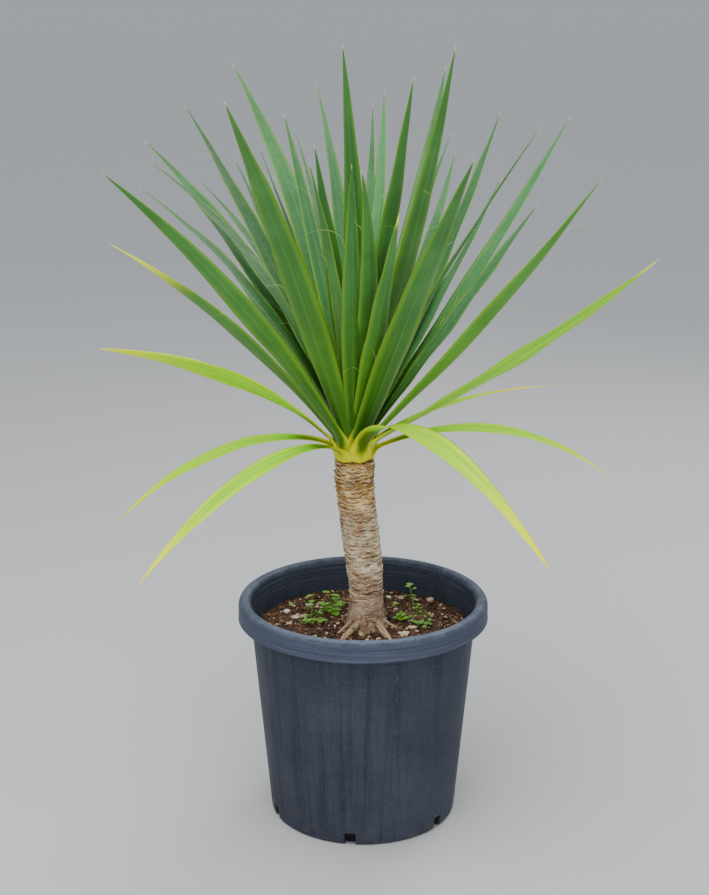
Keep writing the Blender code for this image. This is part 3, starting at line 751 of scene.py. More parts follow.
def build_soil(material):
    """A crumbly top, with the side and underside that show through the drainage notches."""
    mesh = bmesh.new()
    top_edge = wall_radius(SOIL_LEVEL) - POT_WALL - SOIL_GAP
    bottom_edge = wall_radius(SOIL_BOTTOM) - POT_WALL - SOIL_GAP

    def place(u, v):
        row = round(v * (SOIL_ROWS + SOIL_SIDE_ROWS))
        outward = direction(360.0 * u, 0.0)
        if row <= SOIL_ROWS:
            spot = outward * (top_edge * row / SOIL_ROWS)
            return Vector((spot.x, spot.y, soil_surface(spot.x, spot.y)))
        share = (row - SOIL_ROWS) / (SOIL_SIDE_ROWS - 1)
        if share > 1.0:
            return Vector((0.0, 0.0, SOIL_BOTTOM))
        spot = outward * blend(top_edge, bottom_edge, share)
        return Vector((spot.x, spot.y, blend(SOIL_LEVEL - 0.006, SOIL_BOTTOM, share)))

    add_sheet(mesh, SOIL_COLUMNS, SOIL_ROWS + SOIL_SIDE_ROWS, place)
    finish_piece("soil_surface", mesh, material, ["soil"])


def add_chip(mesh, draw, x, y, size, flatness):
    """One rough chip lying partly sunk in the soil."""
    made = bmesh.ops.create_icosphere(mesh, subdivisions=1, radius=0.5)
    corners = made["verts"]
    for corner in corners:
        corner.co *= draw.uniform(0.72, 1.15)
    length = draw.uniform(0.9, 1.5)
    bmesh.ops.scale(mesh, vec=(size * length, size, size * flatness), verts=corners)
    tilt = Matrix.Rotation(draw.uniform(-0.5, 0.5), 3, "X")
    spin = Matrix.Rotation(draw.uniform(0.0, 6.28), 3, "Z")
    bmesh.ops.rotate(mesh, cent=(0, 0, 0), matrix=spin @ tilt, verts=corners)
    height = soil_surface(x, y) + size * flatness * draw.uniform(-0.1, 0.3)
    bmesh.ops.translate(mesh, vec=(x, y, height), verts=corners)
    return corners


def clear_of_trunk(x, y):
    return math.hypot(x - TRUNK_FOOT_X, y) > CHIP_CLEARANCE


def build_chips(kind, material, seed):
    """All the chips of one kind, by a seeded draw, and the large ones that stand out."""
    draw = random.Random(seed)
    mesh = bmesh.new()
    tone = mesh.verts.layers.float.new("tone")
    spots = [(x, y, size) for name, x, y, size in LARGE_CHIPS if name == kind.name]
    reach = wall_radius(SOIL_LEVEL) - POT_WALL - 0.008
    while len(spots) < kind.count:
        spot = direction(draw.uniform(-180.0, 180.0), 0.0) * (reach * math.sqrt(draw.random()))
        size = kind.smallest + (kind.largest - kind.smallest) * draw.random() ** 2.2
        if clear_of_trunk(spot.x, spot.y):
            spots.append((spot.x, spot.y, size))
    for x, y, size in spots:
        value = draw.random()
        for corner in add_chip(mesh, draw, x, y, size, kind.flatness):
            corner[tone] = value
    finish_piece(kind.name, mesh, material)


# Weeds

def add_leaflet(mesh, centre, turn, length, tilt):
    """One heart-shaped leaflet, notched at its tip and folded a little along its midrib."""
    rows = 8
    heading = direction(turn, tilt)
    side = across_of(turn)
    normal = heading.cross(side)

    def place(u, v):
        row = round(v * rows)
        across, face = across_blade(u)
        reach = 0.60 * length * math.sin(math.pi * v ** 0.80) ** 0.55 if 0 < row < rows else 0.0
        notch = -0.14 * length * v ** 6 * (1.0 - abs(across)) ** 0.8
        forward = heading * (length * (0.04 + 0.96 * v) + notch)
        lift = 0.22 * abs(across) * reach + face * 0.00022 * (1.0 - across * across)
        return centre + forward + side * (reach * across) + normal * lift

    add_sheet(mesh, 12, rows, place)


def add_weed_leaf(mesh, tip, turn, radius, draw):
    """Three leaflets on one stem, as on wood sorrel."""
    for spread in (-120.0, 0.0, 120.0):
        bearing = turn + spread + draw.uniform(-14.0, 14.0)
        add_leaflet(mesh, tip, bearing, radius * draw.uniform(0.95, 1.15), draw.uniform(-8.0, 16.0))


def build_weed(weed, material, seed):
    """A small weed: thin stems from one foot in the soil, each with a leaf and side leaves."""
    draw = random.Random(seed)
    mesh = bmesh.new()
    x, y = weed.place
    level = soil_height(x, y)
    foot = Vector((x, y, level - 0.012))
    for turn, out, rise, radius in weed.stems:
        tip = Vector((x, y, level + rise)) + direction(turn, 0.0) * out
        tip.z = max(tip.z, soil_height(tip.x, tip.y) + 0.007)
        knee = foot.lerp(tip, 0.55) + Vector((0.0, 0.0, 0.004))
        points = []
        for step in range(11):
            share = step / 10.0
            points.append(foot.lerp(knee, share).lerp(knee.lerp(tip, share), share))
        add_tube(mesh, points, [0.0009 - 0.0003 * step / 10.0 for step in range(11)], 8)
        add_weed_leaf(mesh, tip, turn, radius * 1.15, draw)
        for share in WEED_SIDE_LEAVES:
            aside = direction(draw.uniform(-180.0, 180.0), 30.0) * (radius * draw.uniform(0.8, 1.5))
            spot = points[round(10 * share)] + aside
            spot.z = max(spot.z, soil_height(spot.x, spot.y) + 0.006)
            add_tube(mesh, [points[round(10 * share)], spot], [0.0005, 0.0004], 6)
            bearing = draw.uniform(-180.0, 180.0)
            add_weed_leaf(mesh, spot, bearing, radius * draw.uniform(0.6, 0.9), draw)
    finish_piece(weed.name + "_plant", mesh, material, [weed.name])


def build_sprouts(material):
    """Scattered seedlings with two to four small leaves, and tufts of fine grass."""
    draw = random.Random(90)
    mesh = bmesh.new()
    for sprout in SPROUTS:
        level = soil_height(sprout.x, sprout.y)
        foot = Vector((sprout.x, sprout.y, level - 0.004))
        lean = direction(draw.uniform(-180.0, 180.0), 0.0) * (0.3 * sprout.height)
        tip = Vector((sprout.x, sprout.y, level + sprout.height)) + lean
        points = []
        radii = []
        for step in range(7):
            bow = lean * (-0.4 * math.sin(step / 6.0 * math.pi))
            points.append(foot.lerp(tip, step / 6.0) + bow)
            radii.append(0.0007 - 0.0004 * step / 6.0)
        add_tube(mesh, points, radii, 6)
        turn = draw.uniform(-180.0, 180.0)
        count = draw.choice((2, 3, 4))
        for leaf in range(count):
            bearing = turn + 360.0 * leaf / count + draw.uniform(-15.0, 15.0)
            length = sprout.leaf * draw.uniform(0.85, 1.15)
            add_leaflet(mesh, tip, bearing, length, draw.uniform(5.0, 35.0))
    for x, y in BLADE_TUFTS:
        for _ in range(TUFT_BLADES):
            right = draw.uniform(-TUFT_SPREAD, TUFT_SPREAD)
            back = draw.uniform(-TUFT_SPREAD, TUFT_SPREAD)
            add_grass_blade(mesh, x + right, y + back, draw)
    finish_piece("sprouts", mesh, material)


def add_grass_blade(mesh, x, y, draw):
    """One thin blade that rises from the soil and arches over."""
    turn = draw.uniform(-180.0, 180.0)
    length = draw.uniform(0.012, 0.030)
    foot = Vector((x, y, soil_height(x, y) - 0.002))
    points = []
    radii = []
    for step in range(8):
        share = step / 7.0
        arched = direction(turn, 80.0 - 55.0 * share)
        points.append(foot + arched * (length * share))
        radii.append(0.0007 * (1.0 - 0.85 * share))
    add_tube(mesh, points, radii, 5)


# Pot

def arc(centre, radius, start, end, steps):
    """Points of an arc in the (radius, height) plane, angles in degrees."""
    points = []
    for step in range(steps + 1):
        angle = math.radians(start + (end - start) * step / steps)
        points.append((
            centre[0] + radius[0] * math.cos(angle),
            centre[1] + radius[1] * math.sin(angle),
        ))
    return points


def inner_ribs():
    """The inside of the wall above the soil, with fine moulded rings."""
    points = []
    height = RIB_BOTTOM
    while height < RIB_TOP:
        radius = wall_radius(height) - POT_WALL
        points.append((radius, height))
        points.append((radius - RIB_DEPTH, height + 0.35 * RIB_PITCH))
        points.append((radius - RIB_DEPTH, height + 0.55 * RIB_PITCH))
        height += RIB_PITCH
    return points


def pot_profile():
    """Inside of the floor and wall, over the rim, down the skirt, then the outside."""
    inner_top = wall_radius(RIM_CENTRE_HEIGHT) - POT_WALL
    rim_centre = (0.5 * (inner_top + RIM_RADIUS), RIM_CENTRE_HEIGHT)
    rim_half = 0.5 * (RIM_RADIUS - inner_top)
    rim_rise = POT_HEIGHT - rim_centre[1]
    skirt_inner = RIM_RADIUS - POT_WALL
    lip = RIM_SKIRT_BOTTOM
    foot_round = 0.006
    inner_round = 0.004
    floor_edge = wall_radius(0.012) - POT_WALL - inner_round
    profile = [(0.0, POT_FLOOR), (0.10, POT_FLOOR)]
    profile += arc((floor_edge, POT_FLOOR + inner_round), (inner_round, inner_round), -90, 0, 4)
    profile += inner_ribs()
    profile += arc(rim_centre, (rim_half, rim_rise), 180, 0, 18)
    profile += [
        (RIM_RADIUS + 0.0001, 0.425),
        (RIM_RADIUS, lip + 0.0052),
        (RIM_RADIUS + 0.0002, lip + 0.0046),
        (RIM_RADIUS + 0.0008, lip + 0.0036),
        (RIM_RADIUS + 0.0008, lip + 0.0010),
        (RIM_RADIUS + 0.0002, lip + 0.0002),
        (RIM_RADIUS - 0.0010, lip),
        (skirt_inner, lip + 0.0004),
        (skirt_inner, 0.434),
        (wall_radius(0.438), 0.438),
        (wall_radius(0.432), 0.432),
    ]
    for step in range(41):
        height = blend(0.425, 0.012, step / 40.0)
        profile.append((wall_radius(height) - 0.00012 * (step % 2), height))
    profile += arc((POT_FOOT_RADIUS - foot_round, foot_round), (foot_round, foot_round), 0, -90, 6)
    profile += [(0.170, 0.0), (0.168, 0.0012), (0.120, 0.0012), (0.118, 0.0), (0.0, 0.0)]
    return profile


def turned_mesh(profile, steps):
    """A mesh spun once round the Z axis from (radius, height) points."""
    mesh = bmesh.new()
    corners = [mesh.verts.new((radius, 0.0, height)) for radius, height in profile]
    edges = [mesh.edges.new(pair) for pair in zip(corners, corners[1:])]
    bmesh.ops.spin(
        mesh, geom=corners + edges, cent=(0, 0, 0), axis=(0, 0, 1), dvec=(0, 0, 0),
        angle=2.0 * math.pi, steps=steps, use_merge=True, use_duplicate=False,
    )
    return mesh


def cut_notches(piece):
    """Cut the drainage notches out of the foot of the wall."""
    for index in range(NOTCH_COUNT):
        outward = direction(NOTCH_FIRST_TURN + index * 360.0 / NOTCH_COUNT, 0.0)
        mesh = bmesh.new()
        bmesh.ops.create_cube(mesh, size=1.0)
        bmesh.ops.scale(mesh, vec=(0.030, NOTCH_WIDTH, NOTCH_HEIGHT + NOTCH_OVERRUN), verts=mesh.verts)
        upright = [edge for edge in mesh.edges if abs(edge.verts[0].co.x - edge.verts[1].co.x) > 0.01]
        bmesh.ops.bevel(
            mesh, geom=upright, offset=0.003, affect="EDGES", segments=3, profile=0.5, material=-1
        )
        turn = Matrix.Rotation(math.atan2(outward.y, outward.x), 3, "Z")
        bmesh.ops.rotate(mesh, cent=(0, 0, 0), matrix=turn, verts=mesh.verts)
        place = outward * (POT_FOOT_RADIUS - 0.001)
        place.z = 0.5 * (NOTCH_HEIGHT - NOTCH_OVERRUN)
        bmesh.ops.translate(mesh, vec=place, verts=mesh.verts)
        data = bpy.data.meshes.new("notch")
        mesh.to_mesh(data)
        mesh.free()
        cutter = bpy.data.objects.new("notch", data)
        bpy.context.scene.collection.objects.link(cutter)
        cut = piece.modifiers.new("Notch", "BOOLEAN")
        cut.operation = "DIFFERENCE"
        cut.solver = "EXACT"
        cut.object = cutter
        apply_modifiers(piece)
        bpy.data.objects.remove(cutter)


def apply_modifiers(piece):
    """Replace the piece's mesh by its evaluated one."""
    graph = bpy.context.evaluated_depsgraph_get()
    data = bpy.data.meshes.new_from_object(piece.evaluated_get(graph))
    piece.modifiers.clear()
    piece.data = data


def build_pot(material):
    mesh = turned_mesh(pot_profile(), POT_STEPS)
    piece = finish_piece("pot_shell", mesh, material, ["pot"])
    cut_notches(piece)
    piece.data.shade_smooth()
    piece.data.set_sharp_from_angle(angle=math.radians(38.0))


# Materials

class Nodes:
    """Short calls that add a node to a tree and hand back what it puts out."""

    def __init__(self, tree):
        self.tree = tree

    def add(self, kind, inputs=None, **settings):
        """A node with its settings made, and each input linked or given its value."""
        made = self.tree.nodes.new(kind)
        for name, value in settings.items():
            setattr(made, name, value)
        for key, value in (inputs or {}).items():
            if isinstance(value, bpy.types.NodeSocket):
                self.tree.links.new(value, made.inputs[key])
            else:
                made.inputs[key].default_value = value
        return made

    def link(self, source, socket):
        self.tree.links.new(source, socket)

    def math(self, operation, *values):
        return self.add("ShaderNodeMath", dict(enumerate(values)), operation=operation).outputs[0]

    def times(self, first, second):
        return self.math("MULTIPLY", first, second)

    def vector_math(self, operation, *values):
        return self.add("ShaderNodeVectorMath", dict(enumerate(values)), operation=operation).outputs

    def combine(self, **parts):
        """A vector from its X, Y and Z parts, with 0 for those left out."""
        return self.add("ShaderNodeCombineXYZ", parts).outputs[0]

    def ease(self, value, low, high, start=0.0, end=1.0):
        """Smooth change from start to end as value goes from low to high."""
        inputs = {"Value": value, "From Min": low, "From Max": high, "To Min": start, "To Max": end}
        made = self.add("ShaderNodeMapRange", inputs, interpolation_type="SMOOTHSTEP", clamp=True)
        return made.outputs["Result"]

    def mix(self, amount, first, second):
        """The first colour where amount is 0, the second where it is 1."""
        inputs = {0: amount, 6: first, 7: second}
        return self.add("ShaderNodeMix", inputs, data_type="RGBA").outputs[2]

    def wash(self, colour, value, low, high, strength, over):
        """The colour with another over it, up to strength as value goes from low to high."""
        return self.mix(self.ease(value, low, high, 0.0, strength), colour, over)

    def tint(self, colour, mask, strength, over):
        """The colour with another over it, as strong as the mask times strength."""
        return self.mix(self.times(mask, strength), colour, over)

    def noise(self, vector, scale, detail=3.0, roughness=0.55):
        inputs = {"Vector": vector, "Scale": scale, "Detail": detail, "Roughness": roughness}
        return self.add("ShaderNodeTexNoise", inputs).outputs["Fac"]

    def scaled(self, vector, scale):
        """The vector stretched along each axis."""
        return self.add("ShaderNodeMapping", {"Vector": vector, "Scale": scale}).outputs["Vector"]

    def uv(self):
        return self.add("ShaderNodeUVMap").outputs["UV"]

    def split(self, vector):
        return self.add("ShaderNodeSeparateXYZ", {"Vector": vector}).outputs

    def place(self):
        """Object coordinates."""
        return self.add("ShaderNodeTexCoord").outputs["Object"]

    def attribute(self, name, output):
        return self.add("ShaderNodeAttribute", attribute_name=name).outputs[output]

    def group(self, name, inputs):
        return self.add("ShaderNodeGroup", inputs, node_tree=bpy.data.node_groups[name]).outputs

    def mottle(self, vector, scale, low, high):
        inputs = {"Vector": vector, "Scale": scale, "Low": low, "High": high}
        return self.group("Mottle", inputs)["Value"]

    def grain(self, vector, scale, coarse_share):
        inputs = {"Vector": vector, "Scale": scale, "Coarse Share": coarse_share}
        return self.group("Fine grain", inputs)["Height"]

    def dust(self, vector, scale, amount):
        inputs = {"Vector": vector, "Scale": scale, "Amount": amount}
        return self.group("Settled dust", inputs)["Mask"]

    def bump(self, height, strength, distance, normal=None):
        inputs = {"Height": height, "Strength": strength, "Distance": distance}
        if normal is not None:
            inputs["Normal"] = normal
        return self.add("ShaderNodeBump", inputs).outputs["Normal"]


def new_group(name, inputs, outputs):
    """An empty shader group with its named sockets; hands back its nodes, input and output."""
    tree = bpy.data.node_groups.new(name, "ShaderNodeTree")
    for socket, kind, value in inputs:
        made = tree.interface.new_socket(socket, in_out="INPUT", socket_type=kind)
        if value is not None:
            made.default_value = value
    for socket, kind in outputs:
        tree.interface.new_socket(socket, in_out="OUTPUT", socket_type=kind)
    entry = tree.nodes.new("NodeGroupInput").outputs
    leave = tree.nodes.new("NodeGroupOutput").inputs
    return Nodes(tree), entry, leave


FLOAT, VECTOR = "NodeSocketFloat", "NodeSocketVector"


def make_mottle_group():
    """Soft patches: 0 to 1 over the surface, with the given share of light and dark."""
    nodes, entry, leave = new_group(
        "Mottle",
        [("Vector", VECTOR, None), ("Scale", FLOAT, 10.0), ("Low", FLOAT, 0.35), ("High", FLOAT, 0.65)],
        [("Value", FLOAT)],
    )
    patches = nodes.noise(entry["Vector"], entry["Scale"], 5.0, 0.6)
    value = nodes.ease(patches, entry["Low"], entry["High"])
    nodes.link(value, leave["Value"])


def make_grain_group():
    """Fine pitting as a height, in two sizes."""
    nodes, entry, leave = new_group(
        "Fine grain",
        [("Vector", VECTOR, None), ("Scale", FLOAT, 400.0), ("Coarse Share", FLOAT, 0.5)],
        [("Height", FLOAT)],
    )
    fine = nodes.noise(entry["Vector"], entry["Scale"], 2.0, 0.5)
    coarse = nodes.noise(entry["Vector"], nodes.times(entry["Scale"], 0.22), 3.0, 0.6)
    inputs = {0: entry["Coarse Share"], 2: fine, 3: coarse}
    height = nodes.add("ShaderNodeMix", inputs, data_type="FLOAT").outputs[0]
    nodes.link(height, leave["Height"])


def make_dust_group():
    """Dust that settles on what faces up, broken by patches."""
    nodes, entry, leave = new_group(
        "Settled dust",
        [("Vector", VECTOR, None), ("Scale", FLOAT, 30.0), ("Amount", FLOAT, 0.5)],
        [("Mask", FLOAT)],
    )
    up = nodes.split(nodes.add("ShaderNodeNewGeometry").outputs["Normal"])["Z"]
    facing = nodes.ease(up, 0.05, 0.95)
    patches = nodes.ease(nodes.noise(entry["Vector"], entry["Scale"], 6.0, 0.7), 0.38, 0.68)
    mask = nodes.times(nodes.times(facing, patches), entry["Amount"])
    nodes.link(mask, leave["Mask"])


def make_leaf_group():
    """Where a spot lies on a leaf, from its UV map, and its fine parallel veins."""
    nodes, entry, leave = new_group(
        "Leaf map",
        [("Vein Count", FLOAT, 34.0)],
        [(name, FLOAT) for name in ("Margin", "Along", "Underside", "Veins", "Streaks")],
    )
    uv = nodes.split(nodes.uv())
    u, v = uv["X"], uv["Y"]
    wide = nodes.times(nodes.math("PINGPONG", u, 0.5), 2.0)
    margin = nodes.math("ABSOLUTE", nodes.math("SUBTRACT", nodes.times(wide, 2.0), 1.0))
    angle = nodes.times(nodes.times(wide, entry["Vein Count"]), 2.0 * math.pi)
    veins = nodes.math("MULTIPLY_ADD", nodes.math("SINE", angle), 0.5, 0.5)
    strap = nodes.combine(X=nodes.times(wide, 9.0), Y=v)
    tone = nodes.split(nodes.attribute("traits", "Vector"))["X"]
    shifted = nodes.vector_math("ADD", strap, nodes.combine(Z=nodes.times(tone, 40.0)))[0]
    streaks = nodes.noise(shifted, 2.2, 6.0, 0.62)
    nodes.link(margin, leave["Margin"])
    nodes.link(v, leave["Along"])
    nodes.link(nodes.math("GREATER_THAN", u, 0.5), leave["Underside"])
    nodes.link(veins, leave["Veins"])
    nodes.link(streaks, leave["Streaks"])


def new_material(name, roughness, specular=0.5):
    """A material with one Principled shader; hands back its nodes and that shader's inputs."""
    material = bpy.data.materials.new(name)
    material.use_nodes = True
    shader = material.node_tree.nodes["Principled BSDF"]
    shader.inputs["Roughness"].default_value = roughness
    shader.inputs["Specular IOR Level"].default_value = specular
    return material, Nodes(material.node_tree), shader.inputs


def add_collar(nodes, place, leaf, colour):
    """Yellow leaf bases just above the trunk: highest at their margins, torn at their foot."""
    height = nodes.split(place)["Z"]
    ragged = nodes.times(nodes.noise(place, 60.0), 0.016)
    raised = nodes.times(nodes.math("POWER", leaf["Margin"], 1.6), -0.052)
    drift = nodes.math("ADD", nodes.math("ADD", height, raised), ragged)
    near = nodes.ease(leaf["Along"], 0.26, 0.16)
    pale = nodes.times(nodes.ease(drift, TRUNK_TOP + 0.044, TRUNK_TOP + 0.012), near)
    yellow = nodes.wash(shade(206, 208, 0), leaf["Streaks"], 0.52, 0.30, 0.6, shade(132, 156, 0))
    colour = nodes.mix(pale, colour, yellow)
    torn = nodes.math("MULTIPLY_ADD", nodes.noise(place, 260.0), 0.008, height)
    husk = nodes.times(nodes.ease(torn, TRUNK_TOP + 0.0095, TRUNK_TOP + 0.0055), near)
    return nodes.mix(husk, colour, shade(166, 120, 44))


def dry_tip(nodes, leaf, share, starts, reach, fade):
    """Rises from 0 to 1 towards the tip, over more of the leaf where its dry share is larger."""
    low = nodes.math("SUBTRACT", starts, nodes.times(share, reach))
    high = nodes.math("SUBTRACT", 1.0, nodes.times(share, fade))
    return nodes.ease(leaf["Along"], low, high)


def link_leaf_relief(nodes, shader, place, leaf, veins, scale, pitting):
    """Parallel veins under fine pitting."""
    ribbed = nodes.bump(leaf["Veins"], veins, 0.0004)
    grain = nodes.grain(place, scale, 0.6)
    nodes.link(nodes.bump(grain, pitting, 0.0004, ribbed), shader["Normal"])


def link_glow(nodes, shader, colour, share, strength):
    """Let a share of the colour shine out as a painted glow, standing in for light that comes through a
    thin blade.
    """
    shader["Emission Strength"].default_value = strength
    nodes.link(nodes.mix(share, (0.0, 0.0, 0.0, 1.0), colour), shader["Emission Color"])


def green_faces(nodes, leaf, tone):
    """The two faces, dark to light by the leaf's tone, each with another hue over one end. The upper
    face's blue is partly painted sky reflection, less at its warm foot; the underside's saturated warm
    green is partly painted light coming through the blade, and its bluish outer part partly painted sky
    reflection.
    """
    # Partly painted sky reflection: the upper face is bluish, warm green towards its foot.
    upper = nodes.mix(tone, shade(20, 70, 52), shade(74, 142, 98))
    upper = nodes.wash(upper, leaf["Along"], 0.60, 0.25, 0.6, shade(58, 124, 26))
    # Partly painted light through the blade: the underside is a saturated warm green, turning bluish
    # towards the tip as painted sky reflection.
    under = nodes.mix(tone, shade(32, 86, 10), shade(92, 156, 30))
    under = nodes.wash(under, leaf["Along"], 0.28, 0.70, 0.66, shade(60, 128, 74))
    return nodes.mix(leaf["Underside"], upper, under)


def add_margin_light_and_lines(nodes, leaf, colour):
    """Painted light towards the margins, where the folded blade catches the light, then a pale rim line
    and a faint midrib.
    """
    edge = leaf["Margin"]
    # Painted light: brighter yellow-green towards the margins.
    colour = nodes.tint(colour, nodes.ease(edge, 0.50, 1.0), 0.38, shade(142, 196, 16))
    colour = nodes.tint(colour, nodes.ease(edge, 0.935, 0.985), 0.50, shade(190, 234, 24))
    return nodes.tint(colour, nodes.ease(edge, 0.07, 0.0), 0.18, shade(150, 196, 70))


def make_green_leaf():
    """Bluish upper faces with painted sky reflection, warm green undersides with painted light coming
    through, painted light and a pale line at the margins, and yellow-green bases.

    The faded leaves and the yellow tips are thin enough for some light to come through, shown as a
    painted glow.
    """
    material, nodes, shader = new_material("green leaf", 0.5, 0.28)
    place = nodes.place()
    leaf = nodes.group("Leaf map", {"Vein Count": 30.0})
    traits = nodes.split(nodes.attribute("traits", "Vector"))
    tone, dry_share, faded = traits["X"], traits["Y"], traits["Z"]
    streaks = nodes.ease(leaf["Streaks"], 0.38, 0.66)
    colour = nodes.tint(green_faces(nodes, leaf, tone), streaks, 0.40, shade(108, 166, 40))
    patches = nodes.mottle(place, 9.0, 0.35, 0.7)
    colour = nodes.tint(colour, patches, 0.35, shade(24, 68, 10))
    # Darker olive near the foot and down the middle: partly the leaf's own colour, partly painted shade
    # deep in the crown.
    heart = nodes.times(nodes.ease(leaf["Along"], 0.50, 0.14), nodes.ease(leaf["Margin"], 0.90, 0.40))
    colour = nodes.tint(colour, heart, 0.42, shade(38, 76, 8))
    paling = nodes.times(faded, nodes.ease(leaf["Along"], 0.05, 0.62, 0.45, 0.95))
    pale = nodes.mix(streaks, shade(116, 194, 8), shade(178, 236, 0))
    colour = add_margin_light_and_lines(nodes, leaf, nodes.mix(paling, colour, pale))
    tip = dry_tip(nodes, leaf, dry_share, 0.98, 1.8, 0.6)
    colour = nodes.mix(tip, colour, shade(222, 238, 0))
    colour = nodes.mix(nodes.dust(place, 60.0, 0.10), colour, shade(178, 194, 150))
    colour = add_collar(nodes, place, leaf, colour)
    nodes.link(colour, shader["Base Color"])
    link_glow(nodes, shader, colour, nodes.math("MAXIMUM", paling, tip), 0.34)
    nodes.link(nodes.ease(streaks, 0.0, 1.0, 0.44, 0.58), shader["Roughness"])
    link_leaf_relief(nodes, shader, place, leaf, 0.22, 900.0, 0.10)
    return material


def make_thread():
    """Pale green fibre that dries to straw in places."""
    material, nodes, shader = new_material("leaf thread", 0.6, 0.3)
    place = nodes.place()
    patches = nodes.mottle(place, 60.0, 0.4, 0.6)
    nodes.link(nodes.mix(patches, shade(134, 190, 60), shade(206, 214, 130)), shader["Base Color"])
    grain = nodes.grain(place, 1500.0, 0.5)
    nodes.link(nodes.bump(grain, 0.2, 0.0002), shader["Normal"])
    return material


def make_yellowing_leaf():
    """Old leaves: green at the foot, then yellow-green to clear yellow, with dry tips.

    A little of their own colour shines out as a painted glow, most at the tips, standing in for light
    that comes through thin blades.
    """
    material, nodes, shader = new_material("yellowing leaf", 0.55, 0.06)
    place = nodes.place()
    leaf = nodes.group("Leaf map", {"Vein Count": 26.0})
    along, streaks = leaf["Along"], leaf["Streaks"]
    traits = nodes.split(nodes.attribute("traits", "Vector"))
    dry_share, age = traits["Y"], traits["Z"]
    aged = nodes.times(nodes.ease(along, 0.22, 0.36), age)
    fading = nodes.math("MULTIPLY_ADD", along, 0.42, nodes.math("SUBTRACT", aged, 0.06))
    fading = nodes.math("MULTIPLY_ADD", nodes.math("SUBTRACT", streaks, 0.5), 0.5, fading)
    colour = nodes.mix(nodes.ease(fading, 0.0, 0.45), shade(74, 104, 20), shade(128, 214, 14))
    colour = nodes.mix(nodes.ease(fading, 0.42, 1.05), colour, shade(194, 252, 0))
    outer = nodes.times(nodes.ease(along, 0.66, 0.97), nodes.ease(aged, 0.2, 0.6))
    colour = nodes.tint(colour, outer, 0.85, shade(255, 238, 0))
    # Painted light: brighter yellow towards the margins, where the blade catches the light.
    colour = nodes.tint(colour, nodes.ease(leaf["Margin"], 0.45, 1.0), 0.62, shade(222, 248, 0))
    stripes = nodes.times(nodes.ease(streaks, 0.54, 0.40, 0.0, 0.45), nodes.ease(along, 0.15, 0.40))
    colour = nodes.mix(stripes, colour, shade(96, 176, 0))
    spots = nodes.mottle(place, 90.0, 0.64, 0.74)
    colour = nodes.tint(colour, spots, 0.30, shade(182, 150, 50))
    tip = dry_tip(nodes, leaf, dry_share, 0.96, 1.1, 0.5)
    colour = add_collar(nodes, place, leaf, nodes.mix(tip, colour, shade(236, 214, 0)))
    nodes.link(colour, shader["Base Color"])
    link_glow(nodes, shader, colour, nodes.ease(outer, 0.0, 1.0, 0.40, 1.0), 0.30)
    nodes.link(nodes.ease(streaks, 0.3, 0.7, 0.44, 0.58), shader["Roughness"])
    link_leaf_relief(nodes, shader, place, leaf, 0.30, 800.0, 0.12)
    return material


def make_weed_leaf():
    """Fresh small leaves with a lighter middle."""
    material, nodes, shader = new_material("weed leaf", 0.48, 0.4)
    place = nodes.place()
    leaf = nodes.group("Leaf map", {"Vein Count": 8.0})
    colour = nodes.mix(leaf["Streaks"], shade(58, 120, 20), shade(124, 184, 48))
    patches = nodes.mottle(place, 120.0, 0.4, 0.7)
    colour = nodes.tint(colour, patches, 0.5, shade(172, 208, 66))
    colour = nodes.wash(colour, leaf["Margin"], 0.15, 0.0, 0.4, shade(180, 224, 60))
    nodes.link(colour, shader["Base Color"])
    nodes.link(nodes.ease(patches, 0.0, 1.0, 0.42, 0.56), shader["Roughness"])
    nodes.link(nodes.bump(leaf["Veins"], 0.25, 0.0003), shader["Normal"])
    return material


def bark_by_height(nodes, place, drift, fresh):
    """Grey-brown at the foot, grey-beige in the middle, golden-brown where the bark is young."""
    patches = nodes.mottle(place, 42.0, 0.32, 0.68)
    foot = nodes.mix(patches, shade(146, 118, 94), shade(208, 180, 154))
    middle = nodes.mix(patches, shade(182, 152, 114), shade(246, 228, 196))
    young = nodes.mix(patches, shade(156, 106, 48), shade(234, 196, 126))
    colour = nodes.mix(nodes.ease(drift, 0.460, 0.580), foot, middle)
    return nodes.mix(fresh, colour, young)


def add_ring_marks_and_painted_light(nodes, place, fresh, colour):
    """Shadowed stretches and short dashes, then painted shade in the cracks and painted highlights on
    the ring lips.
    """
    shadow = nodes.mottle(nodes.scaled(place, (0.55, 0.55, 1.0)), 26.0, 0.42, 0.62)
    colour = nodes.tint(colour, shadow, 0.50, shade(128, 100, 68))
    dashes = nodes.noise(nodes.scaled(place, (0.35, 0.35, 2.4)), 66.0, 4.0, 0.62)
    colour = nodes.wash(colour, dashes, 0.44, 0.35, 0.72, shade(86, 62, 42))
    colour = nodes.wash(colour, dashes, 0.56, 0.68, 0.45, shade(244, 228, 196))
    relief = nodes.attribute("relief", "Fac")
    # Painted shade: dark in the cracks under the ring lips.
    colour = nodes.wash(colour, relief, 0.46, 0.14, 0.94, shade(64, 43, 28))
    # Painted highlight: pale on the lips of the young rings, where they catch the light from above.
    lip = nodes.times(nodes.ease(relief, 0.66, 0.92), nodes.ease(fresh, 0.0, 1.0, 0.40, 0.66))
    return nodes.mix(lip, colour, shade(240, 222, 184))


def add_bark_specks(nodes, place, flecks, colour):
    """Pale and dark flecks, rusty patches and small dark pits."""
    colour = nodes.wash(colour, flecks, 0.58, 0.70, 0.62, shade(244, 230, 202))
    colour = nodes.wash(colour, flecks, 0.46, 0.34, 0.80, shade(84, 60, 42))
    rust = nodes.mottle(place, 75.0, 0.56, 0.70)
    colour = nodes.tint(colour, rust, 0.45, shade(184, 112, 50))
    pits = nodes.mottle(place, 210.0, 0.60, 0.68)
    return nodes.tint(colour, pits, 0.55, shade(84, 58, 40))


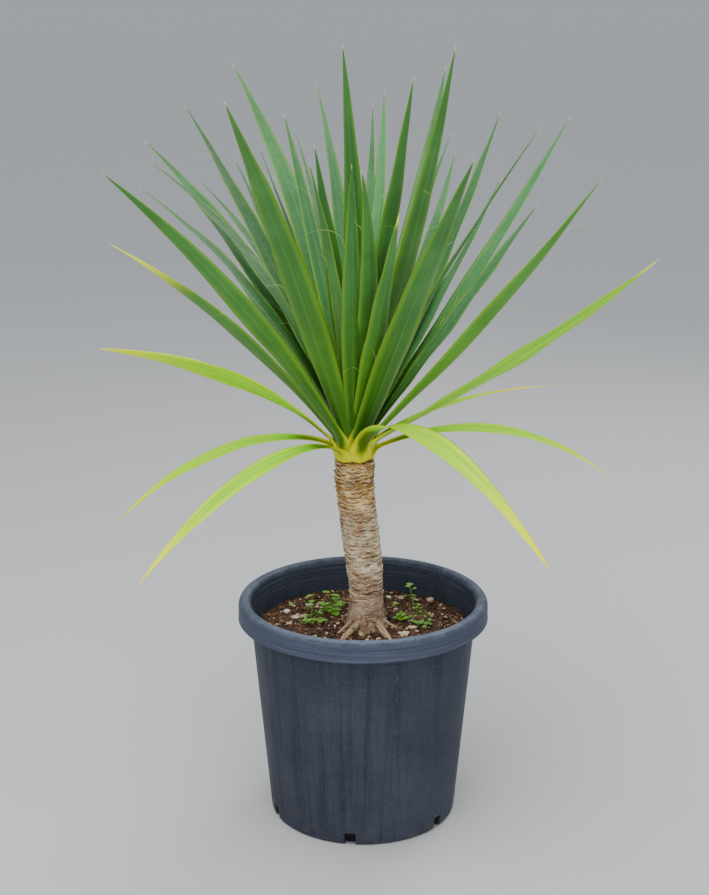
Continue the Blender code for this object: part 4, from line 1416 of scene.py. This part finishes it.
def add_root_skin(nodes, place, drift, colour):
    """Upright wrinkles low on the stem, and fibres that run along the roots."""
    wrinkles = nodes.noise(nodes.scaled(place, (1.6, 1.6, 0.35)), 95.0, 4.0, 0.65)
    wrinkled = nodes.times(nodes.ease(wrinkles, 0.48, 0.36), nodes.ease(drift, 0.470, 0.430))
    colour = nodes.mix(wrinkled, colour, shade(92, 68, 52))
    uv = nodes.split(nodes.uv())
    lengthwise = nodes.combine(X=uv["X"], Y=nodes.times(uv["Y"], 0.16))
    fibres = nodes.ease(nodes.noise(lengthwise, 22.0, 5.0, 0.68), 0.36, 0.62)
    skin = nodes.mix(fibres, shade(108, 78, 56), shade(226, 192, 156))
    return nodes.tint(colour, nodes.attribute("rootiness", "Fac"), 0.9, skin)


def make_bark():
    """Ragged rings that change with height, flecked and pitted, and the roots' own skin."""
    material, nodes, shader = new_material("bark", 0.85, 0.2)
    place = nodes.place()
    drift = nodes.math("MULTIPLY_ADD", nodes.noise(place, 30.0), 0.05, nodes.split(place)["Z"])
    fresh = nodes.ease(drift, 0.610, 0.705)
    flecks = nodes.noise(nodes.scaled(place, (0.5, 0.5, 2.2)), 130.0, 4.0, 0.66)
    colour = bark_by_height(nodes, place, drift, fresh)
    colour = add_ring_marks_and_painted_light(nodes, place, fresh, colour)
    colour = add_bark_specks(nodes, place, flecks, colour)
    colour = add_root_skin(nodes, place, drift, colour)
    nodes.link(colour, shader["Base Color"])
    nodes.link(nodes.ease(flecks, 0.3, 0.7, 0.74, 0.95), shader["Roughness"])
    grain = nodes.grain(place, 620.0, 0.65)
    ridged = nodes.bump(flecks, 0.50, 0.0012)
    nodes.link(nodes.bump(grain, 0.40, 0.0008, ridged), shader["Normal"])
    return material


def make_soil():
    """Dark damp mix with reddish and brown crumbs, painted shade in the hollows between them, and
    painted shade deep down at the side.
    """
    material, nodes, shader = new_material("potting mix", 0.95, 0.2)
    place = nodes.place()
    patches = nodes.mottle(place, 55.0, 0.35, 0.65)
    colour = nodes.mix(patches, shade(36, 25, 18), shade(92, 66, 48))
    crumbs = nodes.noise(place, 260.0, 4.0, 0.65)
    colour = nodes.wash(colour, crumbs, 0.52, 0.66, 0.8, shade(138, 104, 78))
    # Painted shade: darkest in the hollows between the crumbs, where the bump sinks.
    colour = nodes.wash(colour, crumbs, 0.44, 0.34, 0.85, shade(22, 15, 12))
    # Painted shade deep down at the side of the mix, which shows dark through the drainage notches.
    deep_shade = nodes.ease(nodes.split(place)["Z"], 0.36, 0.30, 0.0, 0.9)
    colour = nodes.mix(deep_shade, colour, shade(12, 9, 8))
    nodes.link(colour, shader["Base Color"])
    nodes.link(nodes.ease(crumbs, 0.3, 0.7, 0.98, 0.82), shader["Roughness"])
    grain = nodes.grain(place, 700.0, 0.5)
    clods = nodes.bump(crumbs, 0.8, 0.0025)
    nodes.link(nodes.bump(grain, 0.5, 0.0010, clods), shader["Normal"])
    return material


def make_chip_material(name, dark, light, roughness):
    """One kind of loose chip: each has its own tone, with fibrous grain."""
    material, nodes, shader = new_material(name, roughness, 0.25)
    place = nodes.place()
    tone = nodes.attribute("tone", "Fac")
    colour = nodes.mix(tone, dark, light)
    fibres = nodes.noise(nodes.scaled(place, (1.0, 2.6, 1.0)), 420.0, 3.0, 0.6)
    colour = nodes.wash(colour, fibres, 0.45, 0.30, 0.6, shade(48, 34, 26))
    patches = nodes.mottle(place, 150.0, 0.4, 0.7)
    colour = nodes.tint(colour, patches, 0.35, light)
    nodes.link(colour, shader["Base Color"])
    nodes.link(nodes.ease(patches, 0.0, 1.0, roughness - 0.08, roughness + 0.05), shader["Roughness"])
    grain = nodes.grain(place, 900.0, 0.4)
    nodes.link(nodes.bump(grain, 0.4, 0.0006), shader["Normal"])
    return material


def round_the_pot(nodes, place):
    """Direction away from the pot's axis, distance from it, and a vector that runs round the wall."""
    parts = nodes.split(place)
    flat = nodes.combine(X=parts["X"], Y=parts["Y"])
    outward = nodes.vector_math("NORMALIZE", flat)[0]
    away = nodes.vector_math("LENGTH", flat)["Value"]
    ring = nodes.split(outward)
    around = nodes.combine(X=ring["X"], Y=ring["Y"], Z=nodes.times(parts["Z"], 0.22))
    return outward, away, around


def add_rim_light_and_scuffs(nodes, place, height, outward, away, colour):
    """A paler skirt, partly painted light and partly cleaner plastic, a painted sky highlight on the
    top of the round, brightest at the front, and dark scuffs over the top.
    """
    # Paler skirt: partly painted light, as it catches more of the sky than the wall below, and partly
    # cleaner plastic.
    band = nodes.ease(height, RIM_SKIRT_BOTTOM - 0.001, RIM_SKIRT_BOTTOM)
    outside = nodes.ease(away, RIM_RADIUS - 0.006, RIM_RADIUS - 0.003)
    colour = nodes.mix(nodes.times(band, outside), colour, shade(72, 78, 95))
    # Painted sky highlight on the top of the round, brightest at the front, where it faces the light.
    front = nodes.ease(nodes.split(outward)["Y"], -0.35, -0.90)
    rim_top_highlight = nodes.mix(front, shade(80, 87, 103), shade(106, 116, 137))
    colour = nodes.mix(nodes.ease(height, POT_HEIGHT - 0.0050, POT_HEIGHT - 0.0005), colour, rim_top_highlight)
    scuffs = nodes.mottle(place, 120.0, 0.56, 0.66)
    upper = nodes.ease(height, POT_HEIGHT - 0.018, POT_HEIGHT - 0.003, 0.10, 0.50)
    return nodes.mix(nodes.times(scuffs, upper), colour, shade(46, 51, 64))


def add_wall_streaks(nodes, height, around, streaks, colour):
    """Pale and dark streaks down the wall, faint on the rim."""
    below = nodes.ease(height, 0.412, 0.400, 0.12, 1.0)
    pale = nodes.times(nodes.ease(streaks, 0.52, 0.70, 0.0, 0.20), below)
    colour = nodes.mix(pale, colour, shade(88, 94, 110))
    broad = nodes.times(nodes.ease(nodes.noise(around, 7.0, 3.0, 0.6), 0.54, 0.36, 0.0, 0.5), below)
    colour = nodes.mix(broad, colour, shade(40, 43, 53))
    dark = nodes.times(nodes.ease(streaks, 0.48, 0.32, 0.0, 0.26), below)
    return nodes.mix(dark, colour, shade(30, 33, 42))


def add_rim_hoops(nodes, place, height, colour):
    """Pale and dark lines that run round the rim, and faintly round the wall."""
    hoops = nodes.noise(nodes.scaled(place, (0.6, 0.6, 26.0)), 10.0, 4.0, 0.7)
    strength = nodes.ease(height, RIM_SKIRT_BOTTOM - 0.002, RIM_SKIRT_BOTTOM, 0.05, 0.36)
    pale = nodes.times(nodes.ease(hoops, 0.50, 0.68), strength)
    colour = nodes.mix(pale, colour, shade(104, 112, 130))
    dark = nodes.times(nodes.ease(hoops, 0.48, 0.32), strength)
    return nodes.mix(dark, colour, shade(40, 44, 55))


def add_inner_ring_highlights(nodes, height, outward, colour):
    """Painted highlights on the edges of the fine rings inside the wall."""
    normal = nodes.add("ShaderNodeNewGeometry").outputs["Normal"]
    facing = nodes.vector_math("DOT_PRODUCT", normal, outward)["Value"]
    inside = nodes.ease(facing, 0.0, -0.6)
    rings = nodes.math("SINE", nodes.times(height, 2.0 * math.pi / RIB_PITCH))
    # Painted highlight on the rings that face into the pot.
    ringed = nodes.times(nodes.ease(rings, 0.1, 1.0, 0.0, 0.22), inside)
    return nodes.mix(ringed, colour, shade(80, 88, 108))


def add_trickle(nodes, place, height, outward, colour):
    """One dried trickle down the wall, broken up along its way."""
    drops = nodes.ease(nodes.noise(nodes.scaled(place, (1.0, 1.0, 0.6)), 160.0), 0.52, 0.60)
    aside = nodes.vector_math("DOT_PRODUCT", outward, across_of(DRIP_TURN))["Value"]
    ahead = nodes.vector_math("DOT_PRODUCT", outward, direction(DRIP_TURN, 0.0))["Value"]
    track = nodes.ease(nodes.math("ABSOLUTE", aside), 0.008, 0.002)
    track = nodes.times(track, nodes.math("GREATER_THAN", ahead, 0.0))
    track = nodes.times(nodes.times(track, drops), nodes.ease(height, 0.10, 0.26))
    return nodes.tint(colour, track, 0.24, shade(128, 134, 148))


def add_specks_and_dust(nodes, place, height, colour):
    """Pale specks, dust on what faces up, and soil splashed on the foot."""
    specks = nodes.noise(place, 520.0, 2.0, 0.5)
    colour = nodes.wash(colour, specks, 0.68, 0.76, 0.5, shade(126, 132, 142))
    colour = nodes.mix(nodes.dust(place, 38.0, 0.35), colour, shade(128, 134, 146))
    splash = nodes.mottle(place, 24.0, 0.45, 0.7)
    soiled = nodes.times(splash, nodes.ease(height, 0.075, 0.0, 0.0, 0.35))
    return nodes.mix(soiled, colour, shade(104, 98, 90))


def make_pot_plastic():
    """Charcoal-blue moulded plastic: faint ripples, vertical streaks, dust and pale scuffs, with
    painted light on the skirt and painted highlights on the rim top and the inner rings.
    """
    material, nodes, shader = new_material("pot plastic", 0.62, 0.07)
    place = nodes.place()
    height = nodes.split(place)["Z"]
    outward, away, around = round_the_pot(nodes, place)
    streaks = nodes.noise(around, 42.0, 5.0, 0.68)
    colour = nodes.mix(nodes.mottle(place, 7.0, 0.3, 0.75), shade(54, 58, 70), shade(66, 71, 84))
    colour = add_rim_light_and_scuffs(nodes, place, height, outward, away, colour)
    colour = add_wall_streaks(nodes, height, around, streaks, colour)
    colour = add_rim_hoops(nodes, place, height, colour)
    colour = add_inner_ring_highlights(nodes, height, outward, colour)
    salt = nodes.noise(place, 210.0, 3.0, 0.7)
    colour = nodes.wash(colour, salt, 0.52, 0.68, 0.17, shade(96, 103, 120))
    colour = add_trickle(nodes, place, height, outward, colour)
    colour = add_specks_and_dust(nodes, place, height, colour)
    nodes.link(colour, shader["Base Color"])
    nodes.link(nodes.ease(streaks, 0.3, 0.7, 0.40, 0.58), shader["Roughness"])
    level = nodes.math("ADD", height, nodes.times(nodes.noise(around, 4.0), 0.012))
    ripples = nodes.math("SINE", nodes.times(level, 2.0 * math.pi / RIPPLE_PITCH))
    rippled = nodes.bump(ripples, 0.16, 0.0006)
    pulled = nodes.bump(streaks, 0.30, 0.0020, rippled)
    grain = nodes.grain(place, 850.0, 0.45)
    nodes.link(nodes.bump(grain, 0.22, 0.0005, pulled), shader["Normal"])
    return material


def make_groups():
    make_mottle_group()
    make_grain_group()
    make_dust_group()
    make_leaf_group()


# Stage

def build_floor():
    """A plain pale floor, wide enough to fill the view."""
    mesh = bmesh.new()
    bmesh.ops.create_grid(mesh, x_segments=2, y_segments=2, size=300.0)
    bmesh.ops.translate(mesh, vec=(0.0, 0.0, -0.0003), verts=mesh.verts)
    data = bpy.data.meshes.new("floor")
    mesh.to_mesh(data)
    mesh.free()
    material = bpy.data.materials.new("floor")
    material.use_nodes = True
    shader = material.node_tree.nodes["Principled BSDF"].inputs
    shader["Base Color"].default_value = shade(206, 205, 202)
    shader["Roughness"].default_value = 0.9
    data.materials.append(material)
    floor = bpy.data.objects.new("floor", data)
    bpy.context.scene.collection.objects.link(floor)


def add_light(name, place, size, power, colour):
    """A large soft light that faces the middle of the plant."""
    data = bpy.data.lights.new(name, "AREA")
    data.shape = "DISK"
    data.size = size
    data.energy = power
    data.color = colour
    light = bpy.data.objects.new(name, data)
    light.location = place
    light.visible_camera = False
    aim = Vector((0.0, 0.0, 0.8)) - Vector(place)
    light.rotation_euler = aim.to_track_quat("-Z", "Y").to_euler()
    bpy.context.scene.collection.objects.link(light)


def build_lights():
    """An overcast sky all round, brightest overhead and in front."""
    world = bpy.data.worlds.new("sky")
    world.use_nodes = True
    background = world.node_tree.nodes["Background"].inputs
    background["Color"].default_value = (0.80, 0.86, 0.95, 1.0)
    background["Strength"].default_value = 0.75
    bpy.context.scene.world = world
    add_light("overhead", (-0.4, -0.6, 3.6), 2.6, 75.0, (1.0, 0.99, 0.97))
    add_light("front left", (-1.2, -3.0, 3.0), 2.4, 32.0, (1.0, 0.98, 0.95))
    add_light("front low", (0.6, -3.4, 1.0), 2.2, 30.0, (1.0, 0.98, 0.96))
    add_light("back right", (1.8, 2.6, 2.8), 2.0, 40.0, (0.95, 0.98, 1.0))


def build_camera():
    data = bpy.data.cameras.new("camera")
    data.lens = CAMERA_LENS
    data.sensor_width = SENSOR_WIDTH
    camera = bpy.data.objects.new("camera", data)
    camera.location = CAMERA_PLACE
    camera.rotation_euler = (math.radians(90.0 - CAMERA_TILT), 0.0, 0.0)
    bpy.context.scene.collection.objects.link(camera)
    bpy.context.scene.camera = camera


def main():
    make_groups()
    green = make_green_leaf()
    build_crown(green)
    build_threads(make_thread())
    build_old_leaves(make_yellowing_leaf())
    bark = make_bark()
    build_trunk(bark)
    build_flakes(bark)
    build_soil(make_soil())
    chip_materials = (
        make_chip_material("dark bark chips", shade(38, 26, 20), shade(96, 68, 50), 0.90),
        make_chip_material("red bark chips", shade(92, 60, 42), shade(160, 116, 88), 0.88),
        make_chip_material("pale wood chips", shade(186, 150, 116), shade(236, 214, 186), 0.88),
        make_chip_material("perlite", shade(228, 222, 212), shade(250, 248, 244), 0.90),
    )
    for index, kind in enumerate(CHIP_KINDS):
        build_chips(kind, chip_materials[index], 20 + index)
    weed_leaf = make_weed_leaf()
    for index, weed in enumerate(WEEDS):
        build_weed(weed, weed_leaf, 60 + index)
    build_sprouts(weed_leaf)
    build_pot(make_pot_plastic())
    build_floor()
    build_lights()
    build_camera()


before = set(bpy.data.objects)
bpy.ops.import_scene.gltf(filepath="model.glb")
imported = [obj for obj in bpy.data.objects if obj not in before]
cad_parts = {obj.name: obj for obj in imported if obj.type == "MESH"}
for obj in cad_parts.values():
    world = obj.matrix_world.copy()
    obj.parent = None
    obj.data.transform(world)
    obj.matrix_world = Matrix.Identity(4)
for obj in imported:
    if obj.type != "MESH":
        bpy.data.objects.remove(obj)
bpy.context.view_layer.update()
main()
